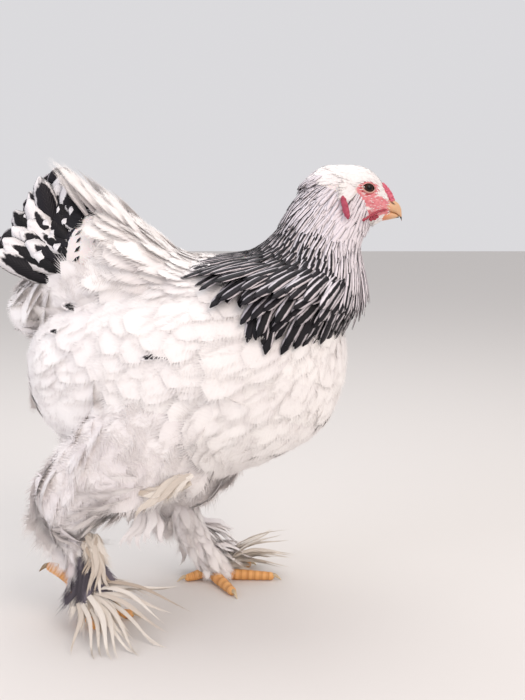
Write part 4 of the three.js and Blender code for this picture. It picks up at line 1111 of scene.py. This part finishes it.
def makeFoot(name):
    made = [scuted(tube("toe", path, radii, 20, 18), path) for path, radii in toes[name].values()]
    made.append(scuted(tube("pad", *pads[name], 20, 8), pads[name][0]))
    finished(joined("toes_" + name, made), "toe", ["foot_" + name])
    for toe, (path, radii) in toes[name].items():
        tip, back = np.array(path[-1], float), np.array(path[-2], float)
        ahead = unit((tip - back) * [1, 1, 0])
        radius = radii[-1] * 0.62
        # a claw leaves the toe level, arches, and comes down to the floor or to the toe's own level
        low = 0.6 if tip[2] < 20 else tip[2] - 6
        claw = [tip - ahead * 2, tip + ahead * 6 + [0, 0, 1.2], tip + ahead * (scuteLook["clawLength"] - 1)]
        claw[2][2] = low
        nail = tube(f"nail_{toe}_{name}", claw, [radius, radius * 0.8, 0.5], 14, 8)
        finished(nail, "claw", [f"claw_{toe}_{name}"])


for name in sides:
    makeFoot(name)

# Coat over the surfaces: each region has its own feather, size, lie and thickness

# the width of each feather's half from its root to its tip, and how it is cut and frayed
shapes = {
    "short": softVane([(0, 0.4), (0.35, 0.95), (0.7, 0.9), (1, 0.4)], 3, 4, 0.1, 0.2),
    "soft": softVane([(0, 0.35), (0.3, 0.9), (0.6, 1), (0.85, 0.86), (1, 0.5)], 5, 22, 0.05, 0.2),
    "loose": softVane([(0, 0.3), (0.3, 0.8), (0.6, 0.8), (0.85, 0.6), (1, 0.3)], 5, 26, 0.06, 0.4),
    "strand": softVane([(0, 0.5), (0.3, 0.9), (0.6, 1), (0.85, 0.6), (1, 0.15)], 14, 34, 0.1, 0.16, 1.1),
    "hackle": vane([(0, 0.4), (0.3, 0.85), (0.75, 1), (0.9, 0.8), (1, 0.12)], 8, 0.02),
    "covert": vane([(0, 0.2), (0.25, 0.85), (0.6, 1), (0.85, 0.85), (0.96, 0.5), (1, 0.15)], 8),
    "flight": vane([(0, 0.14), (0.2, 0.6), (0.5, 0.9), (0.8, 1), (0.92, 0.82), (0.98, 0.45), (1, 0.1)], 24),
    "down": plume([(0, 0.5), (0.4, 1), (0.8, 0.7), (1, 0.3)], 30, 0.3, 0.1, 0.018),
}


def vectors(*parts):
    return np.stack([np.asarray(p, float) for p in np.broadcast_arrays(*parts)], -1)


def backwards(points, ahead):
    # over the trunk the feathers run to the tail and down the sides, and down the breast in front
    front = np.clip((points[:, 0] - 90) / 60, 0, 1)
    low = np.clip((300 - points[:, 2]) / 120, 0, 1)
    return vectors(-1 + 0.7 * front, 0, -0.25 - 1.1 * front - 0.15 * low)


# sizes are width and length in millimetres, and spacings are in metres
coatLook = {
    "body": {"size": (33, 47), "spacing": 0.0081, "down": 0.0105},
    "cushion": {"size": (38, 54), "spacing": 0.0095, "down": 0.01},
    "thigh": {"size": (32, 44), "spacing": 0.0078, "down": 0.0088},
    "head": {"size": (2, 5), "spacing": 0.0016},
}


def layered(region, names, feather, guide, choices):
    # a layer of feathers and a layer of down, each over the guide that guide makes for its shape
    look = coatLook[region]
    layers = zip(names, (feather, "down"), ("white", "down"), (look["spacing"], look["down"]))
    for name, shape, material, spacing in layers:
        feathered(name, guide(shape), shape, material, {"Spacing": spacing, **choices})


def bodyCoat():
    width, length = coatLook["body"]["size"]

    def look(s, a, p):
        front = np.clip((p[:, 0] - 60) / 80, 0, 1)
        rear = np.clip((-90 - p[:, 0]) / 60, 0, 1)
        clumps = drift(p, 34, 1)
        bow = vectors(0.2 * drift(p, 50, 2), 0.02 * clumps + 0.03 * rear, 0)
        # painted shade: the lower a feather sits on the body, the greyer its tone, for the feathers and for the
        # down under them
        under = np.clip((230 - p[:, 2]) / 70, 0, 1)
        size = vectors(width - 6 * front, length - 10 * front, 1)
        return size, bow, 0.1 * under + 0.06 * clumps, np.ones(len(s))

    def downLook(s, a, p):
        size, bow, tone, thick = look(s, a, p)
        smooth = np.clip((p[:, 0] + 100) / 60, 0, 1) * np.clip((p[:, 2] - 250) / 60, 0, 1)
        return size * 0.8, bow + [0, 0.03, 0], tone, 1 - 0.6 * smooth

    def guide(shape):
        last, chosen = (9.5, downLook) if shape == "down" else (10.9, look)
        return surfaceGuide(torso, 0.15, last, 0, 360, -skinLook["coatDepth"], backwards, chosen, formTree,
                            60, 90)
    layered("body", ("body_feathers", "body_down"), "soft", guide,
            {"Ruffle": 0.16, "Uneven": 0.2, "Lift spread": 0.02})


def headCoat():
    # short smooth feathers, which leave only fine bristles over the bare face
    width, length = coatLook["head"]["size"]

    def look(s, a, p):
        bare = bareness(p)
        grow = np.clip((205 - p[:, 0]) / 70, 0, 1)
        size = vectors((width + 3.6 * grow) * (1 - 0.78 * bare), (length + 13 * grow) * (1 - 0.3 * bare), 1)
        # they grow thinner towards the nape, where the hackle shows through
        thick = np.clip(1 - bare * 0.75, 0, 1) * np.clip((p[:, 0] - 122) / 34, 0.12, 1)
        return size, vectors(0, 0.1 * bare, 0), 0.03 * grow, thick

    def way(points, ahead):
        return -ahead + vectors(0, 0, -0.35 * (points[:, 2] < 490))
    guide = surfaceGuide(head, 0.2, 8.7, 0, 360, -1.1, way, look, headTree, 60, 72)
    feathered("head_feathers", guide, "short", "white",
              {"Spacing": coatLook["head"]["spacing"], "Ruffle": 0.14, "Uneven": 0.2, "Lift spread": 0.012})


earLook = {"x": 173, "z": 497, "wide": 4.5, "high": 5.5, "count": 150}


def earTufts():
    # the round cream tuft over each ear
    pick = np.random.default_rng(6)
    feathers = []
    for side in sides.values():
        for k in range(earLook["count"]):
            turn, off = pick.uniform(0, 2 * math.pi), pick.uniform(0, 1) ** 0.5
            x = earLook["x"] + earLook["wide"] * math.cos(turn) * off
            z = earLook["z"] + earLook["high"] * math.sin(turn) * off
            root = seenFrom(headTree, x, z, side)[0] - [0, 3 * side, 0]
            tip = root + [-9 - 2 * math.cos(turn) * off, 7 * side, -2 + 3 * math.sin(turn) * off]
            feathers.append((root, tip, (0, side, 0.3), 4.4, (0, 0.3, 0.7), 0))
    feathered("ear_tufts", placeGuide(feathers), "short", "white",
              {"Ruffle": 0.3, "Uneven": 0.2, "Lift spread": 0.1})


# the hackle's rows from the shoulders to the head, and the gaps between its feathers at some stations
hackleLook = {"stations": np.linspace(1.6, 6.8, 22), "spacing": ([1.6, 3.2, 5, 6.9], [9.6, 7.4, 4.6, 3.4]),
              "white": 0.02, "napeSpacing": 0.0024}


def neckCoat():
    # the hackle: striped feathers in staggered rows, finer and whiter towards the head and throat
    def look(s, a, p):
        high = np.clip((s - 1.8) / 4.6, 0, 1)
        front = np.clip((-np.sin(np.radians(a)) + 0.1) / 0.8, 0, 1)
        back = np.clip(np.sin(np.radians(a)), 0, 1)
        size = vectors(11.8 - 6.8 * high, 62 - 36 * high - 6 * front, 1)
        white = hackleLook["white"] + (0.84 - 0.42 * back) * high ** 0.9 + 0.5 * front * high
        bow = vectors(0.03 + 0.12 * drift(p, 16, 6), 0.15 - 0.06 * high, 0.13)
        return size, bow, white + 0.1 * drift(p, 9, 5), np.ones(len(s))

    def napeLook(s, a, p):
        white = 0.36 + 0.013 * (p[:, 0] - 124) + 0.1 * drift(p, 5, 7)
        thick = np.clip((152 - p[:, 0]) / 14, 0, 1)
        return vectors(4.4 + 0 * s, 21, 1), vectors(0.03, 0.05, 0.05), white, thick

    guide = rowGuide(neck, hackleLook["stations"], hackleLook["spacing"], -6, lambda p, ahead: -ahead, look)
    feathered("hackle_feathers", guide, "hackle", "striped",
              {"Ruffle": 0.13, "Uneven": 0.14, "Lift spread": 0.03})
    # its first small feathers grow on the back of the head, where the white crown ends
    guide = surfaceGuide(head, 0.3, 3, -30, 210, -1.2, lambda p, ahead: -ahead + vectors(0, 0, -0.5),
                         napeLook, headTree, 40, 60)
    feathered("nape_feathers", guide, "hackle", "striped",
              {"Spacing": hackleLook["napeSpacing"], "Ruffle": 0.12, "Uneven": 0.2})


def underFan(p):
    # whether a place lies between the two halves of the tail's fan
    back, up = fan["x"] - p[:, 0], p[:, 2] - fan["z"]
    spread = np.radians(fan["angles"][0]) - np.arctan2(up, back)
    return np.abs(p[:, 1]) < 3 + np.hypot(back, up) * spread * math.tan(math.radians(fan["roof"]))


def cushionCoat():
    # big soft rounded feathers over the rump and under the tail, which leave the fan's face to the coverts
    width, length = coatLook["cushion"]["size"]

    def look(s, a, p):
        low = np.clip((20 - np.degrees(np.arcsin(np.clip(np.sin(np.radians(a)), -1, 1)))) / 40, 0, 1)
        clumps = drift(p, 30, 8)
        rear = np.clip((-170 - p[:, 0]) / 20, 0, 1)
        # the lower sides get shorter feathers, and a greyer tone that is painted shade
        return (vectors(width - 10 * rear, length - 8 * low - 26 * rear, 1),
                vectors(0.3 * drift(p, 40, 9), 0.05 * clumps + 1.3 * rear, 0.3 * rear),
                0.05 * clumps + 0.08 * low, ((p[:, 0] > -74) | (p[:, 2] < 398) | underFan(p)) * 1.0)

    def guide(shape):
        return surfaceGuide(tailCore, 0.15, 9.8, -90, 270, -4, lambda p, ahead: -ahead + [-0.4, 0, -0.15],
                            look, formTree, 44, 70, 0.12)
    layered("cushion", ("cushion_feathers", "cushion_down"), "soft", guide, {"Ruffle": 0.2, "Uneven": 0.15})


def thighCoat(name):
    # loose fluffy feathers that hang down the thigh and a little to the back
    width, length = coatLook["thigh"]["size"]

    def look(s, a, p):
        low = np.clip((s - 4) / 4, 0, 1)
        clumps = drift(p, 26, 11)
        bow = vectors(0.4 * drift(p, 36, 12), 0.06 + 0.08 * clumps, 0)
        return vectors(width - 8 * low, length - 8 * low, 1), bow, 0.1 + 0.08 * clumps, np.ones(len(s))

    def guide(shape):
        return surfaceGuide(thighs[name], 0.3, thighs[name].last - 0.1, 0, 360, -skinLook["thighDepth"],
                            lambda p, ahead: ahead + vectors(-0.45 + 0.3 * drift(p, 50, 13), 0, 0), look,
                            formTree, 50, 60)
    layered("thigh", ("thigh_feathers_" + name, "thigh_down_" + name), "loose", guide,
            {"Ruffle": 0.3, "Uneven": 0.25, "Lift spread": 0.05})


bodyCoat()
headCoat()
earTufts()
neckCoat()
cushionCoat()
for name in sides:
    thighCoat(name)

# Feathers at chosen places: tail, wings, shanks and feet

def inFan(angle, distance, side, inward):
    # a place in the fan at an angle and a distance from where it turns, moved inwards
    spread = math.radians(fan["angles"][0] - angle) * math.tan(math.radians(fan["roof"]))
    y = (fan["ridge"] + distance * spread - inward) * side
    turn = math.radians(angle)
    return np.array([fan["x"] - math.cos(turn) * distance, y, fan["z"] + math.sin(turn) * distance])


def fanFace(angle, side):
    roof, turn = math.radians(fan["roof"]), math.radians(angle)
    return np.array([math.sin(turn) * math.sin(roof), side * math.cos(roof), math.cos(turn) * math.sin(roof)])


def tailFeathers():
    feathers = []
    for side in sides.values():
        for i, (angle, reach) in enumerate(zip(fan["angles"], fan["reach"])):
            root, tip = (inFan(angle, distance, side, fan["step"] * i) for distance in (26, reach))
            feathers.append((root, tip, fanFace(angle, side), fan["width"], (0.02, 0.02, 0.03), 0))
    feathered("tail_main_feathers", placeGuide(feathers), "flight", "black",
              {"Ruffle": 0.02, "Uneven": 0.02, "Lift spread": 0.01})


# rows of coverts: station on the rump, how far they end from the fan's edge, height over the fan,
# number of feathers and their width
covertRows = [(3.0, 6, 1.5, 9, 25), (3.8, 19, 3, 9, 26), (4.6, 33, 4.5, 9, 26), (5.4, 47, 6, 8, 27),
              (6.2, 62, 8, 8, 28)]


def covertFeathers():
    # laced coverts from the rump to the fan's face, some nearly black and some nearly white
    pick = np.random.default_rng(4)
    feathers = []
    for side in sides.values():
        for row, (station, back, over, count, width) in enumerate(covertRows):
            for k in range(count):
                t = (k + (0.25 if row % 2 else 0.6)) / count
                angle = 61 - t * 66 + pick.uniform(-3, 3)
                turn = 86 - t * 76
                root = tailCore.at(station, turn if side > 0 else 180 - turn, -3)[0]
                reach = np.interp(t * 6, range(7), fan["reach"])
                tip = inFan(angle, reach - back + pick.uniform(-5, 5), side, -over)
                middle = inFan(angle, (reach - back) * 0.62, side, -over - 3)
                out = fanFace(angle, side)
                bow = (pick.uniform(-0.12, 0.12), *bowThrough(root, middle, tip, out))
                pale = pick.uniform(-0.2, 0.12) + 0.07 * row + (0.3 if pick.uniform() > 0.75 else 0)
                feathers.append((root, tip, out, width, bow, pale))
    feathered("tail_coverts", placeGuide(feathers), "covert", "laced",
              {"Ruffle": 0.05, "Uneven": 0.08, "Lift spread": 0.02})


def ridgeFeathers():
    # loose white feathers along the top of the tail, with ends that part like hair
    pick = np.random.default_rng(8)
    feathers = []
    for k in range(48):
        t = pick.uniform()
        side = 1 if k % 2 else -1
        root = tailCore.at(9 - 4.4 * t, 90 - side * pick.uniform(0, 30), -2)[0]
        tip = root + np.array([-36 + 8 * t, 0, 30 + 14 * t]) * pick.uniform(0.7, 1.15)
        tip[1] += side * pick.uniform(-2, 5)
        feathers.append((root, tip, (0.5, side * 0.4, 0.7), 14, (pick.uniform(-0.1, 0.1), 0.06, 0.1), 0))
    feathered("ridge_feathers", placeGuide(feathers), "loose", "white",
              {"Ruffle": 0.08, "Uneven": 0.1, "Lift spread": 0.02})


# places of the spots as x and z, with the width and length of their feathers
spotPlaces = [(-143, 363, 16, 30), (-192, 371, 11, 18), (-156, 341, 9, 22), (-43, 318, 6, 22),
              (-29, 316, 6, 20), (2, 408, 8, 24)]


def spots():
    # the few black-centred feathers among the white ones, under the tail, on the flank and the back
    feathers = []
    for x, z, width, length in spotPlaces:
        for side in sides.values():
            place, out = seenFrom(formTree, x, z, side)
            reach = unit(np.array([-1, 0, 0.1 if x < -100 else -0.3])) * length / 2
            middle = place + out * 5
            feathers.append((middle - reach, middle + reach + out * 2, out, width, (0.1, 0.1, 0.1), -0.1))
    feathered("spot_feathers", placeGuide(feathers), "soft", "spotted", {"Ruffle": 0.3, "Uneven": 0.25})


tailFeathers()
covertFeathers()
ridgeFeathers()
spots()

# Wings: rows of soft feathers over the folded wing, each under the row above it

wingLook = {"x": 12, "z": 336, "droop": 9, "rows": 7, "lowest": -36, "rowStep": 11.5, "halfLength": 96,
            "halfHeight": 52, "gap": 15, "length": 58, "width": 32, "thick": 3.5}
torsoTree = castTree([torso])


def wingPlace(p, q, side, h):
    # a place on the folded wing: p along it to the front, q up across it, h over the flank
    turn = math.radians(wingLook["droop"])
    x = wingLook["x"] + p * math.cos(turn) - q * math.sin(turn)
    z = wingLook["z"] + p * math.sin(turn) + q * math.cos(turn)
    place, normal = seenFrom(torsoTree, x, z, side)
    return place + normal * h, normal


def wingFeathers():
    feathers = []
    pick = np.random.default_rng(12)
    for side in sides.values():
        for row in range(wingLook["rows"]):
            level = wingLook["lowest"] + row * wingLook["rowStep"] + pick.uniform(-2, 2)
            half = wingLook["halfLength"] * math.sqrt(max(0.1, 1 - (level / wingLook["halfHeight"]) ** 2))
            count = round(2 * half / wingLook["gap"])
            for k in range(count):
                p = -half + 2 * half * (k + pick.uniform(0, 1)) / count
                length = wingLook["length"] - row * 2.5 + pick.uniform(-4, 4)
                h = 2 + wingLook["thick"] * math.sqrt(max(0, 1 - (p / 100) ** 2))
                level += pick.uniform(-2.5, 2.5)
                root, out = wingPlace(p + 4, level + 2, side, 0)
                middle = wingPlace(p - length * 0.46, level - length * 0.09, side, h)[0]
                tip = wingPlace(p - length * 0.92, level - length * 0.18, side, h + 1)[0]
                bow = (pick.uniform(-0.06, 0.06), *bowThrough(root, middle, tip, out))
                feathers.append((root, tip, out, wingLook["width"], bow, 0.02 + 0.04 * pick.uniform()))
    feathered("wing_feathers", placeGuide(feathers), "soft", "white",
              {"Ruffle": 0.14, "Uneven": 0.12, "Lift spread": 0.01})


wingFeathers()

# tufts on the legs: where they grow, the places that their tips reach, and the material they are made of
legTufts = {
    "right": [
        {"root": (-144, -68, 38), "material": "cream", "copies": 5, "width": (4, 7), "tips": [
            (-14, -106, 53), (-11, -124, 29), (-36, -146, 8), (-64, -160, 4), (-90, -154, 4), (-112, -136, 5)]},
        {"root": (-60, -66, 152), "material": "white", "copies": 10, "width": (8, 12), "tips": [
            (-104, -84, 98), (-72, -84, 90), (-42, -78, 98)]},
        {"root": (-12, -112, 186), "material": "cream", "copies": 5, "width": (7, 10), "tips": [
            (-62, -121, 148), (-82, -121, 152), (-74, -119, 138)]},
        {"root": (-126, -74, 104), "material": "cream", "copies": 7, "width": (4, 7), "tips": [
            (-122, -92, 40), (-106, -94, 22), (-96, -90, 48)]},
        {"root": (-132, -72, 86), "material": "smoky", "copies": 12, "width": (11, 15), "tips": [
            (-104, -88, 36), (-120, -94, 20), (-134, -92, 26)]},
    ],
    "left": [
        {"root": (12, 61, 11), "material": "cream", "copies": 6, "width": (5, 8), "tips": [
            (92, 66, 66), (99, 79, 48), (98, 92, 30), (88, 100, 20), (70, 104, 12), (44, 104, 6)]},
        {"root": (-4, 58, 36), "material": "white", "copies": 12, "width": (9, 14), "tips": [
            (44, 66, 46), (54, 82, 26), (40, 96, 12), (10, 104, 8), (-20, 96, 20)]},
        {"root": (-20, 66, 70), "material": "white", "copies": 10, "width": (9, 14), "tips": [
            (-26, 92, 16), (6, 94, 12), (34, 92, 26), (52, 84, 46)]},
    ],
}
tuftFace = {"right": (0.2, -0.7, 0.7), "left": (0, -0.1, 1)}
shankLook = {
    "count": 460,
    "right": {"smokyBelow": 66, "bareHeel": 64, "tone": 0.3, "reach": (0.4, 0.92)},
    "left": {"smokyBelow": 0, "bareHeel": 0, "tone": 0.1, "reach": (0.65, 1)},
}


def legPlumes(name):
    # long loose feathers over the foot and down the shank, in tufts
    pick = np.random.default_rng(9)
    for number, tuft in enumerate(legTufts[name]):
        feathers = []
        tips = np.array(tuft["tips"], float)
        for k in range((len(tips) - 1) * tuft["copies"] + 1):
            t = min(k / tuft["copies"], len(tips) - 1.001)
            tip = tips[int(t)] * (1 - t + int(t)) + tips[int(t) + 1] * (t - int(t))
            start = np.array(tuft["root"]) + pick.uniform(-1, 1, 3) * (9, 5, 7)
            tip = start + (tip - start) * pick.uniform(*shankLook[name]["reach"])
            tip[2] = max(tip[2], 3)
            out = np.array(tuftFace[name]) + pick.uniform(-0.25, 0.25, 3)
            sweep = pick.uniform(-0.35, 0.35)
            # a feather that curves sideways keeps its tip over the floor
            low = sweep * np.linalg.norm(tip - start) * unit(np.cross(tip - start, out))[2]
            tip[2] = max(tip[2], 6 - low)
            tone = pick.uniform(0, 0.25 if tuft["material"] == "white" else 0.8)
            feathers.append((start, tip, out, pick.uniform(*tuft["width"]), (sweep, 0.35, 0.35), tone))
        shape = "loose" if tuft["material"] == "smoky" else "strand"
        feathered(f"foot_tuft_{number}_{name}", placeGuide(feathers), shape, tuft["material"],
                  {"Ruffle": 0.04, "Uneven": 0.04, "Lift spread": 0.03})
        # shorter loose feathers hide where the tuft grows
        fluff = [(start, start + (tip - start) * (0.3 + 0.25 * (k % 3) / 2), out, 13, bow, 0.4 * tone)
                 for k, (start, tip, out, width, bow, tone) in enumerate(feathers)]
        feathered(f"foot_fluff_{number}_{name}", placeGuide(fluff), "loose", tuft["material"],
                  {"Ruffle": 0.15, "Uneven": 0.15, "Lift spread": 0.05})


def shankCoat(name):
    # small feathers all round the shank down to the toes, white above and smoky below on the right one
    path, radii = shanks[name]
    body = Body([[*p, 0, r, r, r] for p, r in zip(path, radii)])
    look = shankLook[name]
    feathers = {"white": [], "smoky": []}
    pick = np.random.default_rng(5)
    for k in range(shankLook["count"]):
        s = pick.uniform(0, body.last)
        before, ring, after = body.ring(np.array([s - 0.1, s, min(s + 0.1, body.last)]))
        ahead = unit((after - before)[:3])
        turn = pick.uniform(0, 2 * math.pi)
        out = np.array([math.cos(turn), math.sin(turn), 0])
        out = unit(out - ahead * (out * ahead).sum())
        root = ring[:3] + out * (ring[4] - 6)
        tip = root + ahead * pick.uniform(18, 30) + out * pick.uniform(4, 9)
        tip[2] = max(tip[2], 9)
        # the hind toe and the back of the raised heel are bare
        if tip[2] < look["bareHeel"] and out[0] < -0.1:
            continue
        shade = "smoky" if root[2] < look["smokyBelow"] + pick.uniform(-12, 12) else "white"
        feathers[shade].append((root, tip, out, 12, (pick.uniform(-0.2, 0.2), 0.2, 0.3),
                                look["tone"] * pick.uniform(0, 1.6)))
    for shade, group in feathers.items():
        if group:
            feathered(f"shank_{shade}_{name}", placeGuide(group), "loose", shade,
                      {"Ruffle": 0.25, "Uneven": 0.15, "Lift spread": 0.08})


for name in sides:
    legPlumes(name)
    shankCoat(name)
print("coat made")

# Studio: pale floor, soft lights, and the camera at the photo's angle

# a light is its place, size, power and tint
studio = {"floor": "#dedad6", "world": "#f2f1f4", "worldStrength": 0.8, "lights": {
    "key": ((1.2, -1.6, 1.9), 1.4, 26, "#fff0e6"), "fill": ((-1.8, -1.2, 1.0), 1.6, 15, "#eef0ff"),
    "top": ((-0.2, 0.6, 2.2), 1.6, 16, "#ffffff")}}
cameraPlace = {"x": 72, "y": -1118, "z": 487, "pitch": 9, "pixels": 950, "imageHeight": 700, "sensor": 24}


def makeStudio():
    mesh = bpy.data.meshes.new("studio floor")
    mesh.from_pydata([(-8, -8, 0), (8, -8, 0), (8, 8, 0), (-8, 8, 0)], [], [(0, 1, 2, 3)])
    floor = bpy.data.objects.new("studio_floor", mesh)
    bpy.context.collection.objects.link(floor)
    material, shader = newMaterial("matt studio paper")[:2]
    feed(shader, {"Base Color": studio["floor"], "Roughness": 0.9, "Specular IOR Level": 0.1})
    mesh.materials.append(material)
    world = bpy.data.worlds.new("studio")
    bpy.context.scene.world = world
    world.use_nodes = True
    feed(world.node_tree.nodes["Background"], {"Color": studio["world"], "Strength": studio["worldStrength"]})
    for name, (place, size, power, tint) in studio["lights"].items():
        light = bpy.data.lights.new(name, "AREA")
        light.size = size
        light.energy = power
        light.color = hexColor(tint)[:3]
        lamp = bpy.data.objects.new(name, light)
        lamp.location = place
        lamp.rotation_euler = (Vector((0, 0, 0.3)) - Vector(place)).to_track_quat("-Z", "Y").to_euler()
        bpy.context.collection.objects.link(lamp)


def makeCamera():
    data = bpy.data.cameras.new("photo view")
    data.sensor_fit = "VERTICAL"
    data.sensor_height = cameraPlace["sensor"]
    data.lens = cameraPlace["pixels"] / cameraPlace["imageHeight"] * cameraPlace["sensor"]
    camera = bpy.data.objects.new("photo_view", data)
    camera.location = (np.array([cameraPlace[k] for k in "xyz"]) + shift) / 1000
    camera.rotation_euler = (math.radians(90 - cameraPlace["pitch"]), 0, 0)
    bpy.context.collection.objects.link(camera)
    bpy.context.scene.camera = camera


makeStudio()
makeCamera()
bpy.context.scene.view_settings.view_transform = "Standard"

for shape in shapes.values():
    bpy.data.objects.remove(shape)
